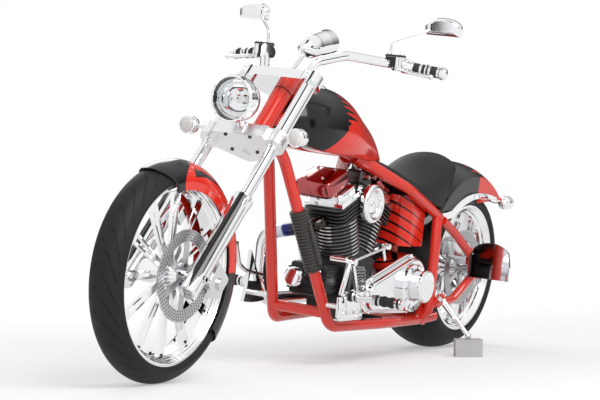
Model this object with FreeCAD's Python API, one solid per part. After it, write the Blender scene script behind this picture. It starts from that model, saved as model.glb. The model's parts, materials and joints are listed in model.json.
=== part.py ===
import FreeCAD, Part
import math
import os

Vec = FreeCAD.Vector

# Driving dimensions, in millimetres and degrees. The machine is drawn upright, with X forward,
# Y to its left, Z up and the point under the rear axle as zero. It is leaned over at the end.
wheelbase = 1915.0
rake = 42.0
axle_lead = 50.0
lean = 7.0
running_gap = 0.3
fit_gap = 0.05

front_tyre_radius = 350.5
front_tyre_half = 61.5
front_crown_radius = 62.5
front_sidewall = 61.5
front_rim_half = 50.0
rear_tyre_radius = 330.0
rear_tyre_half = 125.0
rear_crown_radius = 170.0
rear_sidewall = 85.0
rear_rim_half = 118.0
shoulder_share = 0.94
bead_depth = 14.0
rim_wall = 9.0
rim_step_width = 16.0
rim_step_depth = 7.0
spoke_count = 12
spoke_thick = 14.0
spoke_root_half = 10.0
spoke_tip_half = 18.0
spoke_rib = 7.0
front_hub_radius = 38.0
rear_hub_radius = 46.0
front_spoke_y = 14.0
rear_spoke_y = 30.0

disc_radius = 146.0
disc_thick = 5.0
disc_band = 38.0
disc_boss = 40.0
disc_arms = 6
disc_arm_half = 11.0
front_disc_y = 74.0
rear_disc_y = 108.0
front_axle_radius = 12.5
front_axle_bore = 7.0
rear_axle_radius = 14.0
rear_axle_bore = 8.0
axle_end = 6.0
axle_nut = 14.0
spacer_wall = 9.5

slider_radius = 31.5
slider_flare = 3.0
slider_flare_height = 22.0
stanchion_radius = 20.5
sleeve_radius = 24.5
sleeve_tail = 16.0
sleeve_head = 6.0
slider_bottom = -65.0
slider_top = 318.0
slider_clearance = 16.5
lower_tree_base = 560.0
lower_tree_thick = 50.0
upper_tree_base = 840.0
upper_tree_thick = 40.0
lower_tree_front = 46.0
upper_tree_front = 34.0
clamp_wall = 13.5
stem_radius = 15.0
neck_radius = 33.0
race_gap = 2.0

crank_x = 765.0
crank_z = 280.0
case_half = 72.0
case_reach = 120.0
case_drop = 118.0
v_half_angle = 22.5
barrel_start = 122.0
barrel_radius = 58.0
fin_radius = 81.0
fin_count = 15
head_fin_count = 5
fin_pitch = 13.5
fin_thick = 4.5
head_corner = 26.0
rocker_height = 46.0
pushrod_radius = 8.0
pushrod_spread = 22.0
pushrod_y = 70.0
clutch_x = 528.0
clutch_z = 288.0
clutch_case_radius = 112.0
crank_case_radius = 68.0

rail_radius = 19.0
downtube_radius = 20.0
backbone_radius = 26.0
shoulder_radius = 27.0
rail_y = 145.0
rail_z = 150.0
cradle_front_x = 1027.0
cradle_front_y = 114.0
rear_post_x = 395.0
rear_post_y = 180.0
axle_plate_half = 12.0
crossmember_z = 198.0

sheet = 3.0
front_fender_gap = 5.5
rear_fender_rise = 78.0
rear_fender_side_gap = 8.0
rear_fender_arc = 212.0

exhaust_radius = 24.0
exhaust_wall = 2.5
exhaust_y = 235.0
plate_holder_width = 168.0
plate_hole_spacing = 146.0
plate_hole_radius = 3.0
bar_radius = 15.9
grip_radius = 19.0
grip_length = 112.0
block_side = 100.0
stand_radius = 8.0
stand_foot_radius = 12.0

# Derived sizes and places
front_rim_lip = front_tyre_radius - front_sidewall
rear_rim_lip = rear_tyre_radius - rear_sidewall
leg_half_spacing = front_disc_y + slider_radius + slider_clearance
front_leg_inner = leg_half_spacing - slider_radius
rear_plate_inner = rear_post_y - axle_plate_half
front_hub_half = front_disc_y - disc_thick / 2 - running_gap
rear_hub_half = rear_disc_y - disc_thick / 2 - running_gap
axle_bore_front = front_axle_radius + fit_gap
axle_bore_rear = rear_axle_radius + fit_gap
neck_low = lower_tree_base + lower_tree_thick + race_gap
neck_high = upper_tree_base - race_gap
yoke_top = upper_tree_base + upper_tree_thick
front_fender_half = front_crown_radius + front_fender_gap + sheet
front_fender_crown = front_tyre_radius + front_fender_gap + sheet
rear_fender_half = rear_tyre_half + rear_fender_side_gap + sheet
rear_fender_crown = rear_tyre_radius + rear_fender_rise
deck_z = rear_tyre_radius + rear_fender_crown
side_axis = Vec(0, 1, 0)
up_axis = Vec(0, 0, 1)
front_hub = Vec(wheelbase, 0, front_tyre_radius)
rear_hub = Vec(0, 0, rear_tyre_radius)
crank = Vec(crank_x, 0, crank_z)


def fork_turn():
    """Rotation that tips the fork's upright frame back by the rake."""
    return FreeCAD.Rotation(side_axis, -rake)


def fork_point(n, y, s):
    """Point given forward of, across and along the fork legs, from the front axle."""
    return front_hub + fork_turn().multVec(Vec(n, y, s))


def neck_axis_point(s):
    """Point on the steering axis."""
    return fork_point(-axle_lead, 0, s)


def in_fork(shape):
    """Shape drawn in the fork's own frame, put at its place on the upright machine."""
    moved = shape.copy()
    moved.Placement = FreeCAD.Placement(front_hub, fork_turn()).multiply(moved.Placement)
    return moved


def mirrored(shape):
    """Copy of a shape on the other side of the machine."""
    return shape.mirror(Vec(0, 0, 0), side_axis)


def mirrored_point(point):
    """Point on the other side of the machine."""
    return Vec(point.x, -point.y, point.z)


def handed(shape, side):
    """Shape drawn for the left, put on the side asked for."""
    return shape if side > 0 else mirrored(shape)


def fused(shapes):
    """One clean solid from several that overlap or share a face."""
    return shapes[0].multiFuse(shapes[1:]).removeSplitter() if len(shapes) > 1 else shapes[0]


def largest(shape):
    """Main solid of a cut shape, without loose chips."""
    return max(shape.Solids, key=lambda solid: solid.Volume)


def box(x, y, z):
    """Box from its pairs of lowest and highest coordinates."""
    return Part.makeBox(x[1] - x[0], y[1] - y[0], z[1] - z[0], Vec(x[0], y[0], z[0]))


def rounded_box(x, y, z, radius, direction):
    """Box whose edges along one direction are rounded."""
    body = box(x, y, z)
    return body.makeFillet(radius, [e for e in body.Edges if abs(e.tangentAt(0).dot(direction)) > 0.9])


def rod(start, end, radius):
    """Round bar between two points."""
    along = end - start
    return Part.makeCylinder(radius, along.Length, start, along)


def cone(start, end, radius_start, radius_end):
    """Tapered round bar between two points."""
    along = end - start
    return Part.makeCone(radius_start, radius_end, along.Length, start, along)


def wire(steps, place):
    """Closed wire through steps: a pair is a line's end, four numbers an arc's middle and end."""
    edges = []
    last = place(*steps[0])
    for step in list(steps[1:]) + [steps[0]]:
        end = place(*step[-2:])
        if len(step) == 4:
            edges.append(Part.Arc(last, place(*step[:2]), end).toShape())
        elif (end - last).Length > 1e-6:
            edges.append(Part.makeLine(last, end))
        last = end
    return Part.Wire(edges)


def spun(steps, centre, axis, angle=360.0, start=0.0):
    """Solid of revolution from pairs of radius and distance along the axis through centre."""
    across = up_axis if abs(axis.z) < 0.9 else Vec(1, 0, 0)
    if start:
        across = FreeCAD.Rotation(axis, start).multVec(across)
    across = (across - axis * across.dot(axis)).normalize()
    outline = wire(steps, lambda r, a: centre + across * r + axis * a)
    return Part.Face(outline).revolve(centre, axis, angle)


def side_plate(steps, y_from, y_to):
    """Plate with an outline in X and Z, between two places across the machine."""
    outline = wire(steps, lambda x, z: Vec(x, y_from, z))
    return Part.Face(outline).extrude(Vec(0, y_to - y_from, 0))


def flat_plate(steps, z_from, z_to):
    """Plate with an outline in X and Y, between two heights."""
    outline = wire(steps, lambda x, y: Vec(x, y, z_from))
    return Part.Face(outline).extrude(Vec(0, 0, z_to - z_from))


def disc(base, axis, radius, length, bore=0.0):
    """Round plate or sleeve, bored through where a bore is given."""
    body = Part.makeCylinder(radius, length, base, axis)
    return body.cut(Part.makeCylinder(bore, length, base, axis)) if bore else body


def tube(points, bends, radius):
    """Round tube along straight runs joined by tangent bends of the given radii."""
    parts = []
    start = points[0]
    for i in range(1, len(points) - 1):
        way_in = (points[i] - points[i - 1]).normalize()
        way_out = (points[i + 1] - points[i]).normalize()
        turn = way_in.getAngle(way_out)
        reach = bends[i - 1] * math.tan(turn / 2)
        arc_start = points[i] - way_in * reach
        axis = way_in.cross(way_out).normalize()
        centre = arc_start + axis.cross(way_in) * bends[i - 1]
        parts.append(rod(start, arc_start, radius))
        section = Part.Face(Part.Wire(Part.makeCircle(radius, arc_start, way_in)))
        parts.append(section.revolve(centre, axis, math.degrees(turn)))
        start = points[i] + way_out * reach
    parts.append(rod(start, points[-1], radius))
    return fused(parts)


def racetrack(first, r0, second, r1, y_from, y_to):
    """Plate round two circles with the straight sides that touch both."""
    along = second - first
    heading = math.atan2(along.z, along.x)
    spread = math.acos((r0 - r1) / along.Length)

    def on(centre, radius, angle):
        return (centre.x + radius * math.cos(angle), centre.z + radius * math.sin(angle))

    steps = [
        on(first, r0, heading - spread),
        on(second, r1, heading - spread),
        on(second, r1, heading) + on(second, r1, heading + spread),
        on(first, r0, heading + spread),
        on(first, r0, heading + math.pi) + on(first, r0, heading - spread),
    ]
    return side_plate(steps, y_from, y_to)


def softened(body, y, radius):
    """Body with its outer edges in one upright plane rounded."""
    edges = [e for e in body.Edges if all(abs(v.Point.y - y) < 0.01 for v in e.Vertexes)
             and abs(e.CenterOfMass.y - y) < 0.01]
    return body.makeFillet(radius, edges)


def quarter(start, corner, end):
    """Quarter of an oval between two points, bulging to a corner."""
    pull = 0.5523
    curve = Part.BezierCurve()
    curve.setPoles([start, start + (corner - start) * pull, end + (corner - end) * pull, end])
    return curve.toShape()


def bulged_section(x, half, low, high, middle, foot):
    """Upright section with a flat foot, drawn-in flanks and an oval top."""
    waist = low + middle * (high - low)
    base = foot * half
    ends = [Vec(x, base, low), Vec(x, half, waist), Vec(x, 0, high), Vec(x, -half, waist), Vec(x, -base, low)]
    corners = [Vec(x, half, low), Vec(x, half, high), Vec(x, -half, high), Vec(x, -half, low)]
    edges = [quarter(ends[i], corners[i], ends[i + 1]) for i in range(4)]
    edges.append(Part.makeLine(ends[4], ends[0]))
    return Part.Wire(edges)


def bulged_body(stations, middle, foot):
    """Smooth body through bulged sections given as place, half width, bottom and top."""
    return Part.makeLoft([bulged_section(*row, middle, foot) for row in stations], True, False)


# Wheels
def tyre(hub, radius, half, crown, lip, rim_half):
    """Tyre: crown arc, shoulders, sidewalls and the bead inside the rim's lips."""
    crown_centre = radius - crown
    shoulder_y = half * shoulder_share
    rise = math.sqrt(crown ** 2 - shoulder_y ** 2) if crown > shoulder_y else 0.0
    shoulder_r = crown_centre + rise
    bead_r = lip - bead_depth
    bead_y = rim_half - rim_wall
    wall_r = (shoulder_r + lip) / 2
    steps = [
        (bead_r, -bead_y),
        (lip + running_gap, -bead_y),
        (lip + running_gap, -rim_half),
        (wall_r, -half, shoulder_r, -shoulder_y),
        (radius, 0, shoulder_r, shoulder_y),
        (wall_r, half, lip + running_gap, rim_half),
        (lip + running_gap, bead_y),
        (bead_r, bead_y),
    ]
    return spun(steps, hub, side_axis)


def rim(hub, lip, rim_half):
    """Dropped rim with rolled lips and a step inside each lip."""
    seat = lip - bead_depth - running_gap
    well = seat - rim_wall
    bead_y = rim_half - rim_wall + running_gap
    step_y = bead_y - rim_step_width
    half = [
        (seat, bead_y), (lip, bead_y), (lip, rim_half), (lip - rim_wall, rim_half), (well, bead_y - rim_wall),
        (well, step_y), (well - rim_step_depth, step_y - rim_step_depth),
    ]
    steps = [(r, -a) for r, a in half] + [(r, a) for r, a in reversed(half)]
    return spun(steps, hub, side_axis)


def spoke(hub, inner, outer, y_mid):
    """One blade spoke: it widens to the rim, and a long slot leaves a rib along each edge."""
    def half_at(radius):
        return spoke_root_half + (spoke_tip_half - spoke_root_half) * (radius - inner) / (outer - inner)

    def plate(low, high, rib):
        steps = [(-half_at(low) + rib, low), (half_at(low) - rib, low), (half_at(high) - rib, high),
                 (-half_at(high) + rib, high)]
        outline = wire(steps, lambda a, r: hub + Vec(a, y_mid - spoke_thick / 2, r))
        return Part.Face(outline).extrude(Vec(0, spoke_thick, 0))

    reach = outer - inner
    return plate(inner, outer, 0.0).cut(plate(inner + 0.35 * reach, inner + 0.85 * reach, spoke_rib))


def wheel(hub, lip, rim_half, hub_radius, hub_half, bore, spoke_y):
    """Bright wheel: stepped rim, slotted blade spokes and a bored hub."""
    well = lip - bead_depth - running_gap - rim_wall - rim_step_depth
    solids = [rim(hub, lip, rim_half)]
    solids.append(disc(hub - Vec(0, hub_half, 0), side_axis, hub_radius, 2 * hub_half))
    blade = spoke(hub, hub_radius - 6.0, well + 3.0, spoke_y)
    for i in range(spoke_count):
        turned = blade.copy()
        turned.rotate(hub, side_axis, i * 360.0 / spoke_count)
        solids.append(turned)
    return fused(solids).cut(disc(hub - Vec(0, hub_half, 0), side_axis, bore, 2 * hub_half))


def brake_disc(hub, y, bore):
    """Brake disc with an open carrier on a boss round the axle."""
    start = hub + Vec(0, y - disc_thick / 2, 0)
    inner = disc_radius - disc_band
    solids = [disc(start, side_axis, disc_radius, disc_thick, inner),
              disc(start, side_axis, disc_boss, disc_thick, bore)]
    for i in range(disc_arms):
        arm = box((-disc_arm_half, disc_arm_half), (start.y, start.y + disc_thick),
                  (disc_boss - 4.0, inner + 2.0))
        arm.rotate(Vec(0, 0, 0), side_axis, i * 360.0 / disc_arms)
        arm.translate(Vec(hub.x, 0, hub.z))
        solids.append(arm)
    return fused(solids)


def front_tyre():
    """Tall narrow front tyre."""
    return tyre(front_hub, front_tyre_radius, front_tyre_half, front_crown_radius, front_rim_lip,
                front_rim_half)


def rear_tyre():
    """Wide low rear tyre."""
    return tyre(rear_hub, rear_tyre_radius, rear_tyre_half, rear_crown_radius, rear_rim_lip, rear_rim_half)


def front_wheel():
    """Front wheel on its hub."""
    return wheel(front_hub, front_rim_lip, front_rim_half, front_hub_radius, front_hub_half,
                 axle_bore_front, front_spoke_y)


def rear_wheel():
    """Rear wheel on its hub."""
    return wheel(rear_hub, rear_rim_lip, rear_rim_half, rear_hub_radius, rear_hub_half, axle_bore_rear,
                 rear_spoke_y)


pulley_radius = 105.0
front_pulley_radius = 40.0
pulley_width = 30.0
pulley_rim = 16.0
pulley_web = 10.0
pulley_teeth = 36
tooth_depth = 3.0
belt_half = 11.0
belt_thick = 6.0
belt_clearance = 6.0
pulley_y = -(rear_tyre_half + belt_clearance + belt_half)
drive_centre = Vec(clutch_x - 20.0, 0, clutch_z)


def rear_pulley():
    """Toothed drive pulley on the right of the rear hub, with a window between its spokes."""
    start = rear_hub + Vec(0, pulley_y - pulley_width / 2, 0)
    reach = -rear_hub_half - running_gap - start.y
    inner = pulley_radius - pulley_rim
    ring = disc(start, side_axis, pulley_radius, pulley_width, inner)
    for i in range(pulley_teeth):
        angle = 2 * math.pi * i / pulley_teeth
        groove = disc(start + Vec(math.cos(angle), 0, math.sin(angle)) * pulley_radius, side_axis,
                      tooth_depth, pulley_width)
        ring = ring.cut(groove)
    web = disc(start + Vec(0, (pulley_width - pulley_web) / 2, 0), side_axis, inner + 2.0, pulley_web,
               axle_bore_rear)
    for i in range(5):
        angle = 2 * math.pi * i / 5
        window = disc(start + Vec(math.cos(angle), 0, math.sin(angle)) * 64.0, side_axis, 17.0, pulley_width)
        web = web.cut(window)
    boss = disc(start, side_axis, disc_boss, reach, axle_bore_rear)
    return fused([ring, web, boss])


def drive_belt():
    """Belt from the gearbox pulley to the rear pulley, on the right."""
    low, high = pulley_y - belt_half, pulley_y + belt_half
    outer = racetrack(drive_centre, front_pulley_radius + belt_thick, rear_hub, pulley_radius + belt_thick,
                      low, high)
    inner = racetrack(drive_centre, front_pulley_radius + running_gap, rear_hub,
                      pulley_radius + running_gap, low, high)
    return outer.cut(inner)


# Axles
def front_axle():
    """Hollow front axle through both fork legs, with its spacers."""
    end = leg_half_spacing + slider_radius + axle_end
    spacer = front_axle_radius + spacer_wall
    left_from = front_disc_y + disc_thick / 2 + running_gap
    right_from = front_hub_half + running_gap
    reach = front_leg_inner - running_gap
    solids = [
        disc(front_hub - Vec(0, end, 0), side_axis, front_axle_radius, 2 * end),
        disc(front_hub + Vec(0, left_from, 0), side_axis, spacer, reach - left_from),
        disc(front_hub - Vec(0, reach, 0), side_axis, spacer, reach - right_from),
    ]
    return fused(solids).cut(disc(front_hub - Vec(0, end, 0), side_axis, front_axle_bore, 2 * end))


def rear_axle():
    """Hollow rear axle through both axle plates, with its spacers and nuts."""
    outer = rear_post_y + axle_plate_half + running_gap
    end = outer + axle_nut + axle_end
    spacer = rear_axle_radius + spacer_wall
    left_from = rear_disc_y + disc_thick / 2 + running_gap
    right_from = -pulley_y + pulley_width / 2 + running_gap
    reach = rear_plate_inner - running_gap
    solids = [
        disc(rear_hub - Vec(0, end, 0), side_axis, rear_axle_radius, 2 * end),
        disc(rear_hub + Vec(0, left_from, 0), side_axis, spacer, reach - left_from),
        disc(rear_hub - Vec(0, reach, 0), side_axis, spacer, reach - right_from),
        disc(rear_hub + Vec(0, outer, 0), side_axis, spacer, axle_nut),
        disc(rear_hub - Vec(0, outer + axle_nut, 0), side_axis, spacer, axle_nut),
    ]
    return fused(solids).cut(disc(rear_hub - Vec(0, end, 0), side_axis, rear_axle_bore, 2 * end))


# Fork
stay_n = (-38.0, -6.0)
stay_s = (214.0, 318.0)
stay_lug_s = (236.0, 296.0)
stay_thick = 6.0


def fender_stay():
    """Bright stay from the left slider to the side of the front mudguard."""
    inner = front_fender_half + running_gap
    plate = rounded_box(stay_n, (inner, inner + stay_thick), stay_s, 10.0, side_axis)
    lug = box((stay_n[0] + 6.0, stay_n[1] - 6.0), (inner, leg_half_spacing - 20.0), stay_lug_s)
    return fused([plate, lug])


def fork_leg(side):
    """Fork leg: bright slider, thin stanchion, thick upper sleeve, mudguard stay and the axle's bore."""
    sleeve_low = lower_tree_base - sleeve_tail
    flare = slider_top + slider_flare_height
    wide = slider_radius + slider_flare
    steps = [
        (0, slider_bottom), (slider_radius - 6.0, slider_bottom), (slider_radius, slider_bottom + 6.0),
        (slider_radius, slider_top - slider_flare_height), (wide, slider_top), (wide, flare - 4.0),
        (wide - 4.0, flare),
        (stanchion_radius, flare), (stanchion_radius, sleeve_low), (sleeve_radius, sleeve_low),
        (sleeve_radius, yoke_top + sleeve_head), (0, yoke_top + sleeve_head),
    ]
    leg = spun(steps, Vec(0, leg_half_spacing, 0), up_axis)
    body = fused([leg, fender_stay()])
    bore = disc(Vec(0, leg_half_spacing - 2 * slider_radius, 0), side_axis, axle_bore_front,
                4 * slider_radius)
    return handed(in_fork(body.cut(bore)), side)


yoke_wing = 26.0
yoke_tail = 34.0


def yoke(base, thick, front, extra):
    """Fork yoke: a plate with two leg clamps, a stem boss and bores for the legs."""
    half = leg_half_spacing - sleeve_radius
    steps = [
        (front, -half), (front, half), (-30.0, half + yoke_wing), (-axle_lead - yoke_tail, 20.0),
        (-axle_lead - yoke_tail, -20.0), (-30.0, -half - yoke_wing),
    ]
    solids = [flat_plate(steps, base, base + thick)]
    solids.append(disc(Vec(-axle_lead, 0, base), up_axis, neck_radius + 5.0, thick))
    for side in (-1, 1):
        solids.append(disc(Vec(0, side * leg_half_spacing, base), up_axis, sleeve_radius + clamp_wall, thick))
    body = fused(solids + extra)
    for side in (-1, 1):
        body = body.cut(disc(Vec(0, side * leg_half_spacing, base), up_axis, sleeve_radius + fit_gap, thick))
    return body


signal_n = 20.0
signal_y = 211.0
signal_s = 595.0
signal_radius = 31.0
signal_length = 66.0
signal_arm = 8.0
signal_socket = 9.0
lamp_seat_n = (24.0, 52.0)
lamp_seat_half = 17.0


def lower_tree():
    """Lower yoke with the steering stem and its nut, the lamp's seat and the signals' arms."""
    top = lower_tree_base + lower_tree_thick
    stem = disc(Vec(-axle_lead, 0, lower_tree_base), up_axis, stem_radius,
                upper_tree_base - running_gap - lower_tree_base)
    nut = disc(Vec(-axle_lead, 0, lower_tree_base - 8.0), up_axis, stem_radius, 8.0)
    seat_block = box(lamp_seat_n, (-lamp_seat_half, lamp_seat_half), (lower_tree_base + 10.0, top))
    arms = []
    for side in (-1, 1):
        start = Vec(signal_n, side * (leg_half_spacing + sleeve_radius + 4.0), signal_s)
        end = Vec(signal_n, side * (signal_y - signal_radius + 4.0), signal_s)
        arms.append(rod(start, end, signal_arm))
    return in_fork(yoke(lower_tree_base, lower_tree_thick, lower_tree_front, [stem, nut, seat_block] + arms))


def stem_nut(grow):
    """Nut on the stem's end over the upper yoke, grown by a clearance."""
    return disc(Vec(-axle_lead, 0, yoke_top), up_axis, stem_radius + 3.0 + grow, 10.0 + grow)


def upper_tree():
    """Upper yoke with its stem nut."""
    return in_fork(yoke(upper_tree_base, upper_tree_thick, upper_tree_front, [stem_nut(0)]))


def bullet(centre, forward, radius, length):
    """Bullet-shaped lamp: a domed lens in a rim in front and a long domed shell behind."""
    steps = [
        (0, length * 0.5), (3.0, length * 0.5), (radius * 0.6, length * 0.46, radius * 0.86, length * 0.36),
        (radius, length * 0.36), (radius, length * 0.24), (radius * 0.93, length * 0.2),
        (radius * 0.72, -length * 0.34, 3.0, -length * 0.5), (0, -length * 0.5),
    ]
    return spun(steps, centre, forward)


def front_signals():
    """Two round turn signals on the lower yoke's arms."""
    reach = signal_y + signal_socket
    arm = in_fork(rod(Vec(signal_n, -reach, signal_s), Vec(signal_n, reach, signal_s),
                      signal_arm + running_gap))
    lamps = [bullet(fork_point(signal_n, side * signal_y, signal_s), Vec(1, 0, 0), signal_radius,
                    signal_length)
             for side in (-1, 1)]
    return Part.makeCompound([largest(lamp.cut(arm)) for lamp in lamps])


headlight_n = 140.0
headlight_s = 627.0
headlight_radius = 79.0
lens_radius = 70.0
lens_seat = 26.0
lamp_foot_radius = 13.0
headlight_centre = fork_point(headlight_n, 0, headlight_s)


def headlight():
    """Round headlamp facing forward: rim, deep shell, hollow reflector with its bulb, and a foot."""
    steps = [
        (0, -84.0), (28.0, -78.0), (66.0, -42.0, headlight_radius - 5.0, 8.0), (headlight_radius, 14.0),
        (headlight_radius, lens_seat + 3.0), (headlight_radius - 3.0, lens_seat + 7.0),
        (lens_radius, lens_seat + 7.0),
        (lens_radius, lens_seat), (lens_radius - 6.0, lens_seat - 4.0), (50.0, -28.0, 12.0, -50.0),
        (7.0, -50.0), (7.0, -14.0), (4.0, -9.0), (0, -9.0),
    ]
    shell = spun(steps, headlight_centre, Vec(1, 0, 0))
    start = fork_point(lamp_seat_n[0] + lamp_foot_radius, 0, lower_tree_base + lower_tree_thick - 20.0)
    foot = rod(start, headlight_centre + Vec(-34.0, 0, -60.0), lamp_foot_radius)
    behind = box((-200.0, lamp_seat_n[1] + running_gap), (-60.0, 60.0), (0, yoke_top))
    return fused([shell, largest(foot.cut(in_fork(behind)))])


def headlight_lens():
    """Clear domed lens inside the headlamp's rim."""
    radius = lens_radius - running_gap
    back = lens_seat + running_gap
    steps = [(0, back), (radius, back), (radius, back + 4.0), (radius * 0.6, back + 13.0, 8.0, back + 17.0),
             (0, back + 17.0)]
    return spun(steps, headlight_centre, Vec(1, 0, 0))


def guard(hub, crown, half, arc, skirt, start, end):
    """Curved sheet guard round a wheel: an arched crown with straight skirts, between two angles."""
    centre = crown - arc
    edge = centre + math.sqrt(arc ** 2 - half ** 2)
    inner_edge = centre + math.sqrt((arc - sheet) ** 2 - (half - sheet) ** 2)
    steps = [
        (skirt, -half), (edge, -half), (crown, 0, edge, half), (skirt, half),
        (skirt, half - sheet), (inner_edge, half - sheet), (crown - sheet, 0, inner_edge, sheet - half),
        (skirt, sheet - half),
    ]
    return spun(steps, hub, side_axis, start - end, 90.0 - start)


front_skirt = 20.0
front_fender_start = 62.0
front_fender_end = 221.0
nose_angle = 70.0
nose_crown_reach = -25.0
nose_side_reach = 35.0


def front_fender():
    """Front mudguard close round the tyre, with straight skirts and a raked curved front edge."""
    centre = front_fender_crown - front_fender_half
    sheet_body = guard(front_hub, front_fender_crown, front_fender_half, front_fender_half,
                       centre - front_skirt,
                       front_fender_start, front_fender_end)
    turn = math.radians(nose_angle)
    out = Vec(math.cos(turn), 0, math.sin(turn))
    along = Vec(-math.sin(turn), 0, math.cos(turn))
    half = front_fender_half + 1.0
    steps = [(-200.0, -half), (nose_side_reach, -half), (nose_crown_reach, 0, nose_side_reach, half),
             (-200.0, half)]
    outline = wire(steps, lambda t, y: front_hub + out * 100.0 + along * t + side_axis * y)
    return sheet_body.cut(Part.Face(outline).extrude(out * 400.0))


# Handlebar and what it carries
riser_n = -9.0
riser_y = 81.0
riser_radius = 21.0
riser_height = 24.0
riser_foot = fork_point(riser_n, riser_y, yoke_top)
bar_points = [
    fork_point(riser_n, riser_y, yoke_top + riser_height / 2), riser_foot + Vec(-33.0, 19.0, 60.0),
    riser_foot + Vec(-129.0, 79.0, 92.0), riser_foot + Vec(-316.0, 181.0, 80.0),
    riser_foot + Vec(-347.0, 336.0, 66.0),
]
bar_bends = [44.0, 110.0, 60.0]
bar_way = (bar_points[-1] - bar_points[-2]).normalize()
clamp_centre = bar_points[-1] - bar_way * (grip_length + 18.0)
clamp_radius = 25.0
clamp_half = 11.0
cup_low = 8.0
cup_rise = 36.0
cup_x = (14.0, 52.0)
cup_y = (-58.0, 6.0)
lever_radius = 6.0
lever_end_radius = 8.5


def handlebar():
    """Wide bar: each half rises from its riser on the yoke and sweeps back level to the grip."""
    leg_top = disc(Vec(0, leg_half_spacing, yoke_top), up_axis, sleeve_radius + running_gap,
                   sleeve_head + running_gap)
    collar = in_fork(disc(Vec(riser_n, riser_y, yoke_top), up_axis, riser_radius, riser_height).cut(leg_top))
    left = fused([collar, tube(bar_points, bar_bends, bar_radius)])
    return Part.makeCompound([left, mirrored(left)])


def grips():
    """Two handgrips: sleeves round the bar's ends with a raised ring at each end."""
    end = bar_points[-1]
    start = end - bar_way * grip_length
    ring = 8.0
    solids = [
        rod(start, end + bar_way * ring, grip_radius), rod(start, start + bar_way * ring, grip_radius + 3.0),
        rod(end, end + bar_way * ring, grip_radius + 3.0),
    ]
    sleeve = fused(solids).cut(rod(start, end + bar_way * 2.0, bar_radius + fit_gap))
    return Part.makeCompound([sleeve, mirrored(sleeve)])


def hand_control(side):
    """Clamp, switch housing, fluid cup and ball-ended lever at one end of the handlebar."""
    base = clamp_centre
    clamp = rod(base - bar_way * clamp_half, base + bar_way * clamp_half, clamp_radius)
    switch = rod(base - bar_way * (clamp_half + 34.0), base - bar_way * clamp_half, clamp_radius - 4.0)
    cup = rounded_box((base.x + cup_x[0], base.x + cup_x[1]), (base.y + cup_y[0], base.y + cup_y[1]),
                      (base.z - cup_low, base.z + cup_rise), 9.0, up_axis)
    lid = rounded_box((base.x + cup_x[0] - 2.0, base.x + cup_x[1] + 2.0),
                      (base.y + cup_y[0] - 2.0, base.y + cup_y[1] + 2.0),
                      (base.z + cup_rise - 8.0, base.z + cup_rise - 3.0), 10.0, up_axis)
    pivot = base + Vec(40.0, -10.0, -12.0)
    tip = bar_points[-1] + Vec(64.0, -8.0, -16.0)
    lever = tube([pivot, pivot + Vec(26.0, 40.0, -6.0), tip], [34.0], lever_radius)
    perch = rod(pivot + Vec(0, 0, -6.0), pivot + Vec(0, 0, 8.0), 15.0)
    body = fused([clamp, switch, cup, lid, perch, lever, Part.makeSphere(lever_end_radius, tip)])
    return handed(largest(body.cut(tube(bar_points, bar_bends, bar_radius + fit_gap))), side)


mirror_half = 66.0
mirror_height = 31.0
stalk_radius = 4.5


def mirrors():
    """Two rear-view mirrors with domed backs on bent stalks from the hand controls."""
    base = clamp_centre + Vec(cup_x[1] - 12.0, cup_y[0] + 14.0, cup_rise + running_gap)
    bend = base + Vec(-2.0, 4.0, 46.0)
    head_centre = base + Vec(-104.0, 137.0, 112.0)
    shell = bulged_body([(-14.0, mirror_half, -mirror_height, mirror_height),
                         (-8.0, mirror_half, -mirror_height, mirror_height),
                         (6.0, mirror_half - 6.0, 5.0 - mirror_height, mirror_height - 3.0),
                         (16.0, mirror_half - 30.0, 14.0 - mirror_height, mirror_height - 12.0)], 0.5, 0.9)
    shell.rotate(Vec(0, 0, 0), up_axis, 8.0)
    shell.translate(head_centre)
    stalk = tube([base, bend, head_centre + Vec(4.0, -30.0, -8.0)], [20.0], stalk_radius)
    left = fused([stalk, shell])
    return Part.makeCompound([left, mirrored(left)])


gauge_tilt = 11.0
gauge_radius = 46.0
gauge_length = 182.0
gauge_foot_n = -24.0


def gauge():
    """Bullet-shaped instrument shell over the yoke, its dial facing the rider, on a post."""
    turn = math.radians(gauge_tilt)
    axis = Vec(-math.cos(turn), 0, math.sin(turn))
    nose = riser_foot + Vec(-97.0, -riser_foot.y, 99.0)
    radius = gauge_radius
    steps = [
        (0, 0), (4.0, 0), (radius * 0.62, 26.0, radius * 0.92, 84.0), (radius, 140.0), (radius, gauge_length),
        (radius - 4.0, gauge_length), (radius - 6.0, gauge_length - 7.0), (0, gauge_length - 7.0),
    ]
    shell = spun(steps, nose, axis)
    foot = fork_point(gauge_foot_n, 0, yoke_top - 10.0)
    post = rod(foot, nose + axis * 52.0, 9.0)
    below = box((-200.0, 200.0), (-60.0, 60.0), (0, yoke_top + running_gap)).fuse(stem_nut(running_gap))
    return fused([shell, largest(post.cut(in_fork(below)))])


caliper_n = (-176.0, -92.0)
caliper_s = (48.0, 138.0)
caliper_half = 28.0
caliper_lug_s = (66.0, 92.0)
slot_gap = 2.0


def front_caliper():
    """Brake caliper that straddles the front disc behind the left slider."""
    y = front_disc_y
    body = rounded_box(caliper_n, (y - caliper_half, y + caliper_half), caliper_s, 14.0, side_axis)
    slot = disc(Vec(0, y - disc_thick / 2 - slot_gap, 0), side_axis, disc_radius + 2 * slot_gap,
                disc_thick + 2 * slot_gap)
    lug = box((caliper_n[1] - 12.0, -slider_radius * 0.75), (y + 14.0, y + 27.0), caliper_lug_s)
    piston = disc(Vec(caliper_n[0] + 30.0, y + caliper_half - 2.0, caliper_s[0] + 45.0), side_axis, 19.0,
                  10.0)
    body = fused([body.cut(slot), lug, piston])
    return in_fork(largest(body.cut(disc(Vec(0, leg_half_spacing, 0), up_axis, slider_radius + running_gap,
                                         slider_top))))


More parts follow.
